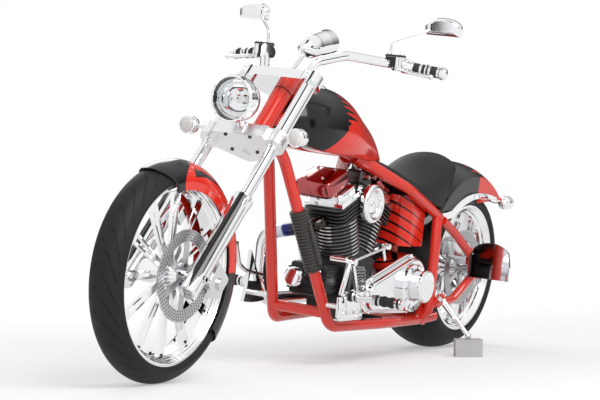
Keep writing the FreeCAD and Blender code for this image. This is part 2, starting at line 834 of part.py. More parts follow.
# Frame
spine_start = neck_axis_point(735.0)
backbone_points = [
    spine_start, spine_start + Vec(-206.0, 0, -25.0), spine_start + Vec(-626.0, 0, -121.0),
    Vec(505.0, 0, deck_z - 138.0),
    Vec(rear_post_x + 5.0, 0, deck_z - 308.0), Vec(rear_post_x, 0, rail_z),
]
backbone_bends = [500.0, 260.0, 200.0, 180.0]
rail_points = [
    backbone_points[2] + Vec(30.0, 18.0, -4.0), Vec(600.0, 150.0, deck_z - 98.0),
    Vec(420.0, 160.0, deck_z - 173.0),
    Vec(rear_post_x - 45.0, 160.0, deck_z - 203.0),
]
rail_bends = [120.0, 200.0]
cradle_points = [
    neck_axis_point(655.0) + Vec(0, downtube_radius + 1.0, 0), spine_start + Vec(-68.0, 28.0, -121.0),
    Vec(cradle_front_x, cradle_front_y, rail_z), Vec(700.0, rail_y, rail_z), Vec(rear_post_x, rail_y, rail_z),
    Vec(rear_post_x - 95.0, rail_y + 12.0, rail_z + 10.0),
]
cradle_bends = [150.0, 65.0, 300.0, 300.0]
post_points = [
    Vec(rear_post_x, rail_y, rail_z), Vec(rear_post_x, rear_post_y, rail_z + 42.0),
    Vec(rear_post_x, rear_post_y, rail_z + 270.0),
    Vec(rear_post_x - 23.0, rear_post_y - 16.0, rail_points[3].z + 5.0),
]
post_bends = [30.0, 100.0]


def neck_tube():
    """Steering neck."""
    return rod(neck_axis_point(neck_low), neck_axis_point(neck_high), neck_radius)


def spine(grow):
    """Backbone from the neck over the engine and down behind it, grown by a clearance."""
    return tube(backbone_points, backbone_bends, backbone_radius + grow)


def upper_rail(grow):
    """Left upper rail: thick at the tank's tail, tapering to the rear joint, grown by a clearance."""
    first, second = rail_points[0], rail_points[1]
    taper = cone(first, first + (second - first) * 0.94, shoulder_radius + grow, rail_radius + grow + 0.5)
    return fused([tube(rail_points, rail_bends, rail_radius + grow), taper])


def cradle_tube(grow):
    """Left downtube and lower rail, grown by a clearance."""
    return tube(cradle_points, cradle_bends, downtube_radius + grow)


def downtube_point(z):
    """Point on the left downtube's middle line at a height."""
    top, foot = cradle_points[1], cradle_points[2]
    return foot + (top - foot) * ((z - foot.z) / (top.z - foot.z))


def backbone():
    """Neck tube, backbone, seat post, post's foot and the two upper rear rails in one weld."""
    rail = upper_rail(0)
    foot_half = rear_post_y - 14.0
    foot = rod(Vec(rear_post_x, -foot_half, rail_z), Vec(rear_post_x, foot_half, rail_z), rail_radius)
    bore = rod(neck_axis_point(neck_low - 5.0), neck_axis_point(neck_high + 5.0), stem_radius + fit_gap)
    return fused([neck_tube(), spine(0), rail, mirrored(rail), foot]).cut(bore)


def cradle():
    """Downtube, lower rail, rear post and gusset of the left side of the frame."""
    post = tube(post_points, post_bends, rail_radius)
    corner = rear_post_x
    gusset = side_plate([(corner - 95.0, rail_z), (corner + 75.0, rail_z), (corner + 10.0, rail_z + 70.0)],
                        rail_y + 6.0, rail_y + 16.0)
    return fused([cradle_tube(0), post, gusset])


def crossmember():
    """Red tube between the two downtubes."""
    end = downtube_point(crossmember_z)
    return rod(mirrored_point(end), end, rail_radius)


stand_pivot = Vec(rear_post_x - 13.0, rear_post_y + 40.0, 242.0)
stand_foot = Vec(rear_post_x - 5.0, 352.0, 118.0)
stand_axis = Vec(0, 0.713, 0.701)
stand_pin_radius = 6.0
stand_eye_half = 8.0
stand_eye_radius = 16.0
stand_boss_radius = 14.0
spring_offset = 17.0
spring_length = 72.0
spring_radius = 6.5


def stand_mount():
    """Boss, pin and head on the rear post that carry the side stand."""
    inner = stand_eye_half + running_gap
    boss = rod(stand_pivot - stand_axis * 44.0, stand_pivot - stand_axis * inner, stand_boss_radius)
    pin = rod(stand_pivot - stand_axis * (inner + 2.0), stand_pivot + stand_axis * (inner + 4.0),
              stand_pin_radius)
    head = rod(stand_pivot + stand_axis * inner, stand_pivot + stand_axis * (inner + 6.0), 11.0)
    return fused([boss, pin, head])


def frame_set():
    """Frame welds cut against each other so that they meet and don't overlap."""
    middle = backbone()
    core = fused([middle, neck_tube()])
    side = largest(cradle().cut(core))
    left = fused([side, stand_mount(), crossmember()])
    right = largest(mirrored(side).cut(crossmember()))
    return middle, left, right


swing_pivot = Vec(rear_post_x - 55.0, 0, 214.0)
swing_radius = 16.0


def upper_leg(grow):
    """Upper leg of the rear triangle on the left, grown by a clearance."""
    hub_z = rear_tyre_radius
    way = [Vec(50.0, rear_post_y, hub_z + 44.0), Vec(230.0, rear_post_y - 8.0, hub_z + 148.0),
           Vec(rail_points[3].x - 20.0, rear_post_y - 12.0, rail_points[3].z - 11.0)]
    return tube(way, [300.0], swing_radius + 1.0 + grow)


def swingarm():
    """Rear triangle: axle plates, lower and upper legs and the pivot tube."""
    hub_z = rear_tyre_radius
    low_leg = [Vec(40.0, rear_post_y, hub_z - 18.0), Vec(200.0, rear_post_y, swing_pivot.z + 8.0),
               Vec(swing_pivot.x - 7.0, rear_post_y, swing_pivot.z)]
    plate = side_plate([(-52.0, hub_z - 30.0), (60.0, hub_z - 34.0), (78.0, hub_z + 60.0),
                        (20.0, hub_z + 44.0),
                        (-40.0, hub_z + 40.0, -52.0, hub_z)], rear_plate_inner, rear_post_y + axle_plate_half)
    left = [plate, tube(low_leg, [90.0], swing_radius), upper_leg(0)]
    end = Vec(0, rear_post_y + swing_radius, 0)
    pivot = rod(swing_pivot - end, swing_pivot + end, swing_radius + 1.0)
    body = fused(left + [mirrored(piece) for piece in left] + [pivot])
    return body.cut(disc(rear_hub - end * 2, side_axis, axle_bore_rear, end.y * 4))


# Bodywork: stations are place, half width, bottom and top
tank_origin = spine_start
tank_stations = [
    (-94.0, 50.0, -58.0, 40.0), (-146.0, 98.0, -88.0, 86.0), (-226.0, 128.0, -106.0, 109.0),
    (-326.0, 137.0, -115.0, 111.0),
    (-436.0, 128.0, -121.0, 81.0), (-536.0, 106.0, -127.0, 28.0), (-626.0, 82.0, -131.0, -21.0),
    (-686.0, 66.0, -135.0, -81.0),
    (-724.0, 50.0, -136.0, -125.0),
]
tank_waist = 0.32
tank_foot = 0.8
seat_stations = [
    (760.0, 34.0, -23.0, 3.0), (700.0, 56.0, -48.0, 0.0), (640.0, 78.0, -70.0, -7.0),
    (580.0, 98.0, -90.0, -23.0),
    (520.0, 114.0, -108.0, -44.0), (440.0, 130.0, -133.0, -62.0), (360.0, 140.0, -158.0, -33.0),
    (290.0, 142.0, -176.0, 9.0),
    (220.0, 136.0, -178.0, 27.0), (150.0, 120.0, -148.0, 30.0), (80.0, 98.0, -98.0, 19.0),
    (25.0, 66.0, -58.0, 7.0),
]
seat_waist = 0.3
seat_foot = 0.94
cap_offset = Vec(-301.0, 0, 96.0)
cap_radius = 34.0
cap_depth = 14.0


def cap_space(gap):
    """Room of the fuel cap in the tank's top."""
    base = tank_origin + cap_offset - Vec(0, 0, cap_depth + gap)
    return disc(base, up_axis, cap_radius + gap, 60.0)


def fuel_tank():
    """Stretched tank over the backbone, with a tunnel for it and a pocket for the cap."""
    rows = [(tank_origin.x + x, half, tank_origin.z + low, tank_origin.z + high) for x, half, low,
            high in tank_stations]
    body = bulged_body(rows, tank_waist, tank_foot)
    floor = [(point.x, point.z) for point in backbone_points[:4]]
    under = [(floor[3][0], floor[3][1] - 100.0), (floor[0][0], floor[3][1] - 100.0)]
    half = backbone_radius + running_gap
    tunnel = side_plate(floor + under, -half, half)
    rail = upper_rail(running_gap)
    return largest(body.cut(fused([tunnel, spine(running_gap), rail,
                                   mirrored(rail)])).cut(cap_space(running_gap)))


def fuel_cap():
    """Domed bright fuel cap."""
    steps = [(0, -cap_depth), (cap_radius, -cap_depth), (cap_radius, 12.0),
             (cap_radius * 0.75, 19.5, 8.0, 23.0), (0, 23.0)]
    return spun(steps, tank_origin + cap_offset, up_axis)


def guard_room(grow):
    """Filled form of the rear mudguard, grown by a clearance."""
    centre = rear_fender_crown - rear_fender_arc
    arc, half = rear_fender_arc + grow, rear_fender_half + grow
    edge = centre + math.sqrt(arc ** 2 - half ** 2)
    steps = [(centre, -half), (edge, -half), (rear_fender_crown + grow, 0, edge, half), (centre, half)]
    return spun(steps, rear_hub, side_axis)


def seat():
    """Low tongue-shaped seat between the tank's tail and the rear mudguard's crown."""
    rows = [(x, half, deck_z + low, deck_z + high) for x, half, low, high in seat_stations]
    body = bulged_body(rows, seat_waist, seat_foot)
    rail = upper_rail(running_gap)
    tail_z = tank_origin.z + tank_stations[-1][2] - running_gap
    under_tank = box((tank_origin.x + tank_stations[-1][0] - 2.0, tank_origin.x), (-200.0, 200.0),
                     (tail_z, tail_z + 300.0))
    return largest(body.cut(guard_room(running_gap)).cut(fused([spine(running_gap), rail,
                                                                mirrored(rail)])).cut(under_tank))


rear_fender_start = 24.0
rear_fender_end = 160.0


def rear_fender():
    """Short rear mudguard: an arched crown and straight skirts cut off level, its tail cut with them."""
    skirt = rear_fender_crown - rear_fender_arc
    body = guard(rear_hub, rear_fender_crown, rear_fender_half, rear_fender_arc, skirt, rear_fender_start,
                 rear_fender_end)
    turn = math.radians(rear_fender_start)
    reach = rear_fender_crown - 56.0
    outer = rear_fender_crown + 60.0
    ahead = (outer * math.cos(turn), rear_tyre_radius + outer * math.sin(turn))
    keep = [
        (-rear_fender_crown - 60.0, deck_z - 121.0), (111.0, deck_z - 162.0), (265.0, deck_z - 187.0),
        (reach * math.cos(turn), rear_tyre_radius + reach * math.sin(turn)), ahead, (ahead[0], deck_z + 60.0),
        (-rear_fender_crown - 60.0, deck_z + 60.0),
    ]
    return largest(body.common(side_plate(keep, -rear_fender_half - 1.0, rear_fender_half + 1.0)))


strut_thick = 9.0
strut_outline = [
    (rear_post_x - 37.0, deck_z - 226.0), (rear_post_x - 37.0, deck_z - 194.0), (264.0, deck_z - 188.0),
    (214.0, deck_z - 181.0), (130.0, deck_z - 138.0, -19.0, deck_z - 112.0),
    (-113.0, deck_z - 118.0, -182.0, deck_z - 130.0),
    (-180.0, deck_z - 146.0), (-110.0, deck_z - 136.0, -24.0, deck_z - 134.0),
    (80.0, deck_z - 151.0, 190.0, deck_z - 206.0),
]
rear_lamp_x = -142.0
rear_lamp_y = 200.0
rear_lamp_z = deck_z - 143.0
rear_lamp_radius = 27.0
rear_lamp_length = 62.0


def fender_struts():
    """Curved bright arm on each side that carries the rear mudguard and the lamp's stem."""
    inner = rear_fender_half + running_gap
    lamp_foot = rod(Vec(rear_lamp_x, inner, rear_lamp_z + 8.0),
                    Vec(rear_lamp_x, inner + strut_thick, rear_lamp_z + 8.0), 13.0)
    left = fused([side_plate(strut_outline, inner, inner + strut_thick),
                  lamp_foot]).cut(upper_rail(running_gap))
    return Part.makeCompound([largest(left), mirrored(largest(left))])


def rear_lamps():
    """Two round rear turn signals on the struts and a low tail lamp on the mudguard."""
    centre = Vec(rear_lamp_x, rear_lamp_y, rear_lamp_z)
    start = Vec(rear_lamp_x, rear_fender_half + 2 * running_gap + strut_thick, rear_lamp_z)
    lamp = bullet(centre, Vec(-1, 0, 0), rear_lamp_radius, rear_lamp_length)
    left = fused([lamp, rod(start, centre, 7.0)])
    turn = math.radians(127.0)
    out = Vec(math.cos(turn), 0, math.sin(turn))
    base = rear_hub + out * (rear_fender_crown - 12.0)
    steps = [(0, 0), (42.0, 0), (42.0, 22.0), (36.0, 34.0, 10.0, 40.0), (0, 40.0)]
    tail = largest(spun(steps, base, out).cut(guard_room(running_gap)))
    return Part.makeCompound([left, mirrored(left), tail])


oil_tank_x = (424.0, 562.0)
oil_tank_base = 425.0
oil_tank_half = 138.0
oil_tank_corner = 44.0


def oil_tank():
    """Oil tank under the seat between the frame rails, with rounded front corners."""
    outline = [(oil_tank_x[0], oil_tank_base), (oil_tank_x[1], oil_tank_base),
               (oil_tank_x[1], deck_z - 126.0),
               (oil_tank_x[0], deck_z - 156.0)]
    body = side_plate(outline, -oil_tank_half, oil_tank_half)
    front = [e for e in body.Edges if abs(e.tangentAt(0).z) > 0.9 and e.CenterOfMass.x > oil_tank_x[1] - 1.0]
    body = body.makeFillet(oil_tank_corner, front)
    rail = upper_rail(running_gap)
    barrel = Part.makeCylinder(fin_radius + 6.0, 500.0, crank, cylinder_axis(-v_half_angle))
    cut = body.cut(fused([spine(running_gap), rail, mirrored(rail)])).cut(barrel)
    return largest(cut.cut(guard_room(running_gap)))


# Engine
def cylinder_axis(tilt):
    """Direction of a cylinder that leans by a tilt, forward where positive."""
    return Vec(math.sin(math.radians(tilt)), 0, math.cos(math.radians(tilt)))


def cylinder_across(tilt):
    """Direction square to a leaning cylinder, pointing forward."""
    return Vec(math.cos(math.radians(tilt)), 0, -math.sin(math.radians(tilt)))


def cylinder_point(tilt, along, across, y):
    """Point given along, across and beside a leaning cylinder, from the crank."""
    return crank + cylinder_axis(tilt) * along + cylinder_across(tilt) * across + Vec(0, y, 0)


def engine_half(side):
    """Room in front of or behind the middle of the engine, clear of the other half."""
    near, far = crank_x + side * running_gap, crank_x + side * 400.0
    return box((min(near, far), max(near, far)), (-150.0, 150.0), (crank_z, crank_z + 500.0))


def crankcase():
    """Crankcase with two sloping cylinder decks, the cam cover on the right and its lugs on the rails."""
    deck_half = barrel_radius + 10.0
    front = cylinder_point(v_half_angle, barrel_start, deck_half, 0)
    rear = cylinder_point(-v_half_angle, barrel_start, -deck_half, 0)
    ridge = crank_z + barrel_start / math.cos(math.radians(v_half_angle))
    base = crank_z - case_drop
    outline = [
        (crank_x - 84.0, base), (crank_x + 84.0, base), (crank_x + 108.0, base + 34.0),
        (crank_x + case_reach, crank_z - 4.0, front.x, front.z), (crank_x, ridge), (rear.x, rear.z),
        (crank_x - case_reach, crank_z - 4.0, crank_x - 108.0, base + 34.0),
    ]
    case = side_plate(outline, -case_half, case_half)
    cam = racetrack(crank + Vec(34.0, 0, 18.0), 70.0, crank + Vec(-40.0, 0, 10.0), 56.0, -case_half - 42.0,
                    -case_half + 1.0)
    cone_shape = spun([(0, -case_half - 54.0), (30.0, -case_half - 54.0), (36.0, -case_half - 41.0),
                       (0, -case_half - 41.0)],
                      crank + Vec(34.0, 0, 18.0), side_axis)
    lugs = [rod(Vec(crank_x + x, -rail_y, base + 2.0), Vec(crank_x + x, rail_y, base + 2.0), 11.0)
            for x in (-66.0, 66.0)]
    body = fused([case, cam, cone_shape] + lugs)
    rail = cradle_tube(running_gap)
    return largest(body.cut(rail).cut(mirrored(rail)))


def pushrods(tilt, grow):
    """Two pushrod tubes on a cylinder's right side, from the deck to the rocker box."""
    length = barrel_start + fin_count * fin_pitch + 4 * running_gap
    return [rod(cylinder_point(tilt, barrel_start + running_gap, offset, -pushrod_y),
                cylinder_point(tilt, length, offset, -pushrod_y), pushrod_radius + grow)
            for offset in (-pushrod_spread, pushrod_spread)]


def finned_cylinder(tilt):
    """Air-cooled cylinder with round fins, and its head with broad fins, notched for the pushrods."""
    axis = cylinder_axis(tilt)
    start = crank + axis * (barrel_start + running_gap)
    solids = [disc(start, axis, barrel_radius, fin_count * fin_pitch)]
    for i in range(fin_count):
        base = start + axis * ((i + 0.5) * fin_pitch)
        if i < fin_count - head_fin_count:
            solids.append(disc(base, axis, fin_radius, fin_thick))
        else:
            fin = rounded_box((-fin_radius, fin_radius), (-fin_radius, fin_radius), (0, fin_thick),
                              head_corner, up_axis)
            fin.rotate(Vec(0, 0, 0), side_axis, tilt)
            fin.translate(base)
            solids.append(fin)
    return fused(solids).cut(fused(pushrods(tilt, 1.5)))


def cylinder_pair():
    """Both cylinders, with the fins cut apart where they would meet."""
    front = finned_cylinder(v_half_angle).common(engine_half(1))
    return front, finned_cylinder(-v_half_angle).common(engine_half(-1))


def rocker_boxes():
    """Stepped rocker cover with its pushrod tubes on each cylinder."""
    covers = []
    for tilt in (-v_half_angle, v_half_angle):
        low = box((-66.0, 66.0), (-78.0, 78.0), (0, 18.0))
        top = rounded_box((-58.0, 58.0), (-70.0, 70.0), (17.0, rocker_height), 20.0, up_axis)
        top = softened_top(top, rocker_height, 9.0)
        cover = fused([low, top])
        cover.rotate(Vec(0, 0, 0), side_axis, tilt)
        cover.translate(cylinder_point(tilt, barrel_start + fin_count * fin_pitch + 2 * running_gap, 0, 0))
        covers.append(fused([cover.common(engine_half(1 if tilt > 0 else -1))] + pushrods(tilt, 0)))
    return Part.makeCompound(covers)


def softened_top(body, z, radius):
    """Body with the edges of its top face rounded."""
    return body.makeFillet(radius, [e for e in body.Edges
                                    if all(abs(v.Point.z - z) < 0.01 for v in e.Vertexes)])


horn_offset = Vec(5.0, 0, 298.0)
horn_radius = 72.0
horn_back = fin_radius + running_gap
horn_face = 113.0


def horn_cover():
    """Bright round horn cover between the cylinders on the left, with a sunk middle."""
    centre = crank + horn_offset
    steps = [
        (0, horn_face - 17.0), (44.0, horn_face - 17.0), (58.0, horn_face, horn_radius, horn_face - 13.0),
        (horn_radius, horn_back + 5.0), (62.0, horn_back), (0, horn_back),
    ]
    return fused([spun(steps, centre, side_axis), rod(centre + Vec(0, 17.0, 0),
                                                      centre + Vec(0, horn_back + 2.0, 0), 12.0)])


air_cleaner_radius = 84.0
air_cleaner_y = 150.0


def cylinder_room(tilt, grow):
    """Square room of a cylinder and its head, grown by a clearance."""
    half = fin_radius + grow
    room = box((-half, half), (-half, half), (barrel_start,
                                              barrel_start + fin_count * fin_pitch + rocker_height))
    room.rotate(Vec(0, 0, 0), side_axis, tilt)
    room.translate(crank)
    return room


def intake():
    """Manifold and carburettor between the heads, and the round air cleaner on the right."""
    centre = crank + Vec(0, 0, 272.0)
    throat = rod(centre + Vec(0, -20.0, 0), centre + Vec(0, -100.0, 0), 22.0)
    arm = Vec(fin_radius, 24.0, 0)
    manifold = rod(centre - arm, centre + Vec(arm.x, -arm.y, 0), 14.0)
    for tilt in (-v_half_angle, v_half_angle):
        manifold = manifold.cut(cylinder_room(tilt, running_gap))
    body = fused([throat, largest(manifold)])
    steps = [
        (0, -air_cleaner_y), (40.0, -air_cleaner_y),
        (70.0, 8.0 - air_cleaner_y, air_cleaner_radius, 22.0 - air_cleaner_y),
        (air_cleaner_radius, -98.0), (air_cleaner_radius - 6.0, -92.0), (0, -92.0),
    ]
    return fused([body, spun(steps, centre, side_axis)])


primary_steps = (case_half + running_gap, 150.0, 176.0, 200.0, 232.0)
clutch_centre = Vec(clutch_x, 0, clutch_z)
drive_end = Vec(crank_x + 35.0, 0, crank_z - 25.0)
plate_centre = clutch_centre + Vec(32.0, 0, -8.0)
plate_radius = 88.0
plate_slots = 12
derby_radius = 60.0


def primary_cover():
    """Bright primary case in four steps: housing, cover, slotted plate and the clutch's derby cap."""
    y0, y1, y2, y3, y4 = primary_steps
    housing = softened(racetrack(drive_end, crank_case_radius, clutch_centre, clutch_case_radius, y0, y1),
                       y1, 9.0)
    cover = softened(racetrack(drive_end, crank_case_radius - 14.0, clutch_centre,
                               clutch_case_radius - 14.0, y1 - 1.0, y2), y2, 9.0)
    plate = spun([(0, y2 - 1.0), (plate_radius, y2 - 1.0), (plate_radius, y3 - 6.0),
                  (plate_radius - 6.0, y3), (0, y3)],
                 plate_centre, side_axis)
    for i in range(plate_slots):
        slot = box((-3.5, 3.5), (y3 - 9.0, y3 + 1.0), (derby_radius + 6.0, plate_radius + 1.0))
        slot.rotate(Vec(0, 0, 0), side_axis, i * 360.0 / plate_slots)
        slot.translate(plate_centre)
        plate = plate.cut(slot)
    steps = [
        (0, y3 - 2.0), (derby_radius - 5.0, y3 - 2.0), (derby_radius - 5.0, y3 + 16.0),
        (derby_radius, y3 + 17.0),
        (derby_radius, y4 - 6.0), (derby_radius - 2.0, y4 - 2.0, derby_radius - 6.0, y4),
        (derby_radius * 0.5, y4 + 2.0, 8.0, y4 + 3.0),
        (0, y4 + 3.0),
    ]
    return fused([housing, cover, plate, spun(steps, clutch_centre, side_axis)])


gearbox_x = (clutch_x - 93.0, clutch_x + 106.0)
gearbox_z = (175.0, 380.0)
gearbox_right = 104.0


def transmission():
    """Ribbed gearbox behind the engine with the belt's small pulley."""
    body = rounded_box(gearbox_x, (-gearbox_right, case_half), gearbox_z, 18.0, side_axis)
    ribs = [box((gearbox_x[0] + 26.0 + i * 30.0, gearbox_x[0] + 32.0 + i * 30.0),
                (-gearbox_right + 12.0, case_half - 12.0),
                (gearbox_z[1] - 2.0, gearbox_z[1] + 7.0)) for i in range(5)]
    start = drive_centre + Vec(0, pulley_y - belt_half - 2.0, 0)
    pulley = disc(start, side_axis, front_pulley_radius, 2 * belt_half + 4.0)
    shaft = rod(start, Vec(start.x, -gearbox_right + 2.0, start.z), 20.0)
    return fused([body, pulley, shaft] + ribs)


port_share = 0.78
header_x = crank_x + 175.0
front_pipe_z = 190.0
rear_pipe_z = 262.0
pipe_end_x = (250.0, 190.0)
tip_depth = 70.0


def exhausts():
    """Two pipes that leave the heads on the right and run back along the lower rail, open at the end."""
    y = -exhaust_y
    port = barrel_start + port_share * fin_count * fin_pitch
    front = cylinder_point(v_half_angle, port, fin_radius + 1.0, 0)
    rear = cylinder_point(-v_half_angle, port, 0, 4.0 - fin_radius)
    first = [front, front + cylinder_across(v_half_angle) * 42.0, Vec(header_x + 8.0, y, 432.0),
             Vec(header_x, y, front_pipe_z),
             Vec(pipe_end_x[0], y, front_pipe_z)]
    second = [rear, Vec(rear.x - 14.0, y, rear.z - 34.0), Vec(clutch_x + 112.0, y, rear_pipe_z),
              Vec(pipe_end_x[1], y, rear_pipe_z)]
    pipes = []
    for points, bends in ((first, [34.0, 60.0, 90.0]), (second, [60.0, 110.0])):
        pipe = largest(tube(points, bends, exhaust_radius).cut(cylinder_room(-v_half_angle, running_gap)))
        pipes.append(pipe.cut(rod(points[-1], points[-1] + Vec(tip_depth, 0, 0),
                                  exhaust_radius - exhaust_wall)))
    return Part.makeCompound(pipes)


# Controls, brackets and stand
control_y = (193.0, 207.0)
peg_x = 950.0
peg_z = 259.0
peg_radius = 17.0
peg_end = 353.0
right_peg_x = 1030.0


def control_bracket():
    """A-shaped bright bracket of a foot control, with its two spacers on the downtube."""
    x = cradle_front_x
    outline = [
        (x + 92.0, 399.0), (x + 47.0, 391.0), (x + 34.0, 363.0), (x + 61.0, 259.0), (x + 81.0, 197.0),
        (x + 20.0, 192.0, x - 46.0, 195.0), (x - 26.0, 256.0), (x + 15.0, 310.0),
    ]
    window = [(x + 62.0, 268.0), (x + 38.0, 340.0), (x + 8.0, 268.0)]
    plate = side_plate(outline[:4] + [(x + 66.0, 250.0), (x + 81.0, 197.0)] + outline[5:], *control_y)
    plate = fused([plate, side_plate([(x - 60.0, 196.0), (x - 20.0, 262.0), (x + 60.0, 380.0),
                                      (x + 66.0, 250.0),
                                      (x + 40.0, 196.0)], *control_y)])
    plate = plate.cut(side_plate(window, control_y[0] - 1.0, control_y[1] + 1.0))
    spacers = [rod(downtube_point(z), Vec(downtube_point(z).x, control_y[0] + 1.0, z), 10.0)
               for z in (230.0, 372.0)]
    return largest(fused([plate] + spacers).cut(cradle_tube(running_gap)))


def peg(x):
    """Round foot peg with raised rings, reaching out from the bracket on an arm."""
    inner = control_y[1] + 26.0
    solids = [rod(Vec(x, inner, peg_z), Vec(x, peg_end, peg_z), peg_radius)]
    for i in range(4):
        start = inner + 14.0 + i * 30.0
        solids.append(disc(Vec(x, start, peg_z), side_axis, peg_radius + 2.5, 8.0))
    arm_end = Vec(x, inner + 8.0, peg_z)
    arm_start = Vec(max(x, cradle_front_x - 12.0), control_y[0] + 6.0, peg_z)
    solids.append(rod(arm_start, arm_end, 11.0))
    return fused(solids)


def left_foot_controls():
    """Shift side: bracket and peg, clear of the primary case."""
    body = fused([control_bracket(), peg(peg_x)])
    return largest(body.cut(racetrack(
        drive_end, crank_case_radius + running_gap, clutch_centre, clutch_case_radius + running_gap,
        primary_steps[0], primary_steps[2])))


def right_foot_controls():
    """Brake side: bracket, peg and a curved brake pedal."""
    x = cradle_front_x
    y = (control_y[0] + control_y[1]) / 2
    pedal = tube([Vec(x - 38.0, y, 287.0), Vec(x + 81.0, y, 308.0), Vec(x + 125.0, y, 330.0),
                  Vec(x + 159.0, y, 404.0)],
                 [40.0, 34.0], 8.0)
    pad = rounded_box((x + 150.0, x + 172.0), (y - 6.0, y + 66.0), (396.0, 412.0), 5.0, side_axis)
    return mirrored(fused([control_bracket(), peg(right_peg_x), pedal, pad]))


regulator_z = (348.0, 552.0)
regulator_radius = 27.0
regulator_fin = 4.0
regulator_pitch = 12.0


def regulator():
    """Finned sleeve clamped round the left downtube."""
    low, high = downtube_point(regulator_z[0]), downtube_point(regulator_z[1])
    axis = (high - low).normalize()
    length = (high - low).Length
    count = int(length / regulator_pitch)
    inner = downtube_radius + running_gap
    outer = regulator_radius
    steps = [(inner, 0)]
    for i in range(count):
        start = i * regulator_pitch
        steps += [(outer, start), (outer, start + 5.0), (outer + regulator_fin, start + 5.0),
                  (outer + regulator_fin, start + 9.0),
                  (outer, start + 9.0)]
    steps += [(outer, length), (inner, length)]
    clamp = rounded_box((-8.0, 8.0), (0, 14.0), (0, 150.0), 4.0, up_axis)
    turn = FreeCAD.Rotation(up_axis, axis)
    clamp.Placement = FreeCAD.Placement(low + axis * 24.0 + turn.multVec(Vec(0, outer - 2.0, 0)), turn)
    return fused([spun(steps, low, axis), clamp])


plate_x = 96.0
plate_thick = 12.0
plate_z = 308.0
plate_outer = rear_post_y + 180.0
plate_arm_radius = 11.0


def plate_bracket():
    """Number-plate holder on the left of the rear axle: an arched plate with two holes, and its arm."""
    inner = plate_outer - plate_holder_width
    z = plate_z
    steps = [(inner, z), (plate_outer, z + 3.0), (plate_outer, z + 57.0), (plate_outer - 10.0, z + 109.0),
             (plate_outer - 92.0, z + 140.0, inner, z + 103.0)]
    face = Part.Face(wire(steps, lambda y, h: Vec(plate_x, y, h))).extrude(Vec(plate_thick, 0, 0))
    middle = (inner + plate_outer) / 2
    for offset in (-0.5, 0.5):
        hole = disc(Vec(plate_x - 1.0, middle + offset * plate_hole_spacing, z + 90.0), Vec(1, 0, 0),
                    plate_hole_radius, plate_thick + 2.0)
        face = face.cut(hole)
    x = -30.0
    start = Vec(x, rear_post_y + axle_plate_half + running_gap, rear_tyre_radius + 20.0)
    arm = tube([start, Vec(x, plate_outer - 130.0, start.z),
                Vec(plate_x + 6.0, plate_outer - 110.0, start.z)], [26.0], plate_arm_radius)
    return fused([largest(face.cut(upper_leg(running_gap))), arm])


rear_caliper_x = (70.0, 138.0)
rear_caliper_z = (40.0, 118.0)


def rear_caliper():
    """Brake caliper over the top front of the rear disc, on a lug from the left axle plate."""
    y = rear_disc_y
    hub_z = rear_tyre_radius
    body = rounded_box(rear_caliper_x, (y - 22.0, y + 30.0),
                       (hub_z + rear_caliper_z[0], hub_z + rear_caliper_z[1]), 14.0, side_axis)
    lug = box((52.0, 92.0), (y + 12.0, rear_plate_inner - running_gap), (hub_z + 20.0, hub_z + 50.0))
    slot = disc(rear_hub + Vec(0, y - disc_thick / 2 - slot_gap, 0), side_axis, disc_radius + 2 * slot_gap,
                disc_thick + 2 * slot_gap)
    return fused([body.cut(slot), largest(lug.cut(upper_leg(running_gap)))])


def side_stand():
    """Side stand: a slim leg from its pivot eye to a rounded foot, with its spring beside it."""
    eye = rod(stand_pivot - stand_axis * stand_eye_half, stand_pivot + stand_axis * stand_eye_half,
              stand_eye_radius)
    leg = cone(stand_pivot, stand_foot, stand_radius + 2.0, stand_radius)
    foot = Part.makeSphere(stand_foot_radius, stand_foot)
    way = (stand_foot - stand_pivot).normalize()
    beside = way.cross(stand_axis).normalize() * spring_offset
    spring_start = stand_pivot + way * 30.0 + beside
    spring_end = spring_start + way * spring_length
    spring = rod(spring_start, spring_end, spring_radius)
    hook = rod(spring_end - way * 5.0, spring_end - way * 5.0 - beside, 3.0)
    top_hook = rod(spring_start + way * 5.0, spring_start + way * 5.0 - beside, 3.0)
    bore = rod(stand_pivot - stand_axis * 20.0, stand_pivot + stand_axis * 20.0, stand_pin_radius + fit_gap)
    swing = [rod(stand_pivot + stand_axis * side * stand_eye_half, stand_pivot + stand_axis * side * 40.0,
                 stand_boss_radius + running_gap) for side in (-1, 1)]
    return largest(fused([eye, leg, foot, spring, hook, top_hook]).cut(bore).cut(swing[0]).cut(swing[1]))


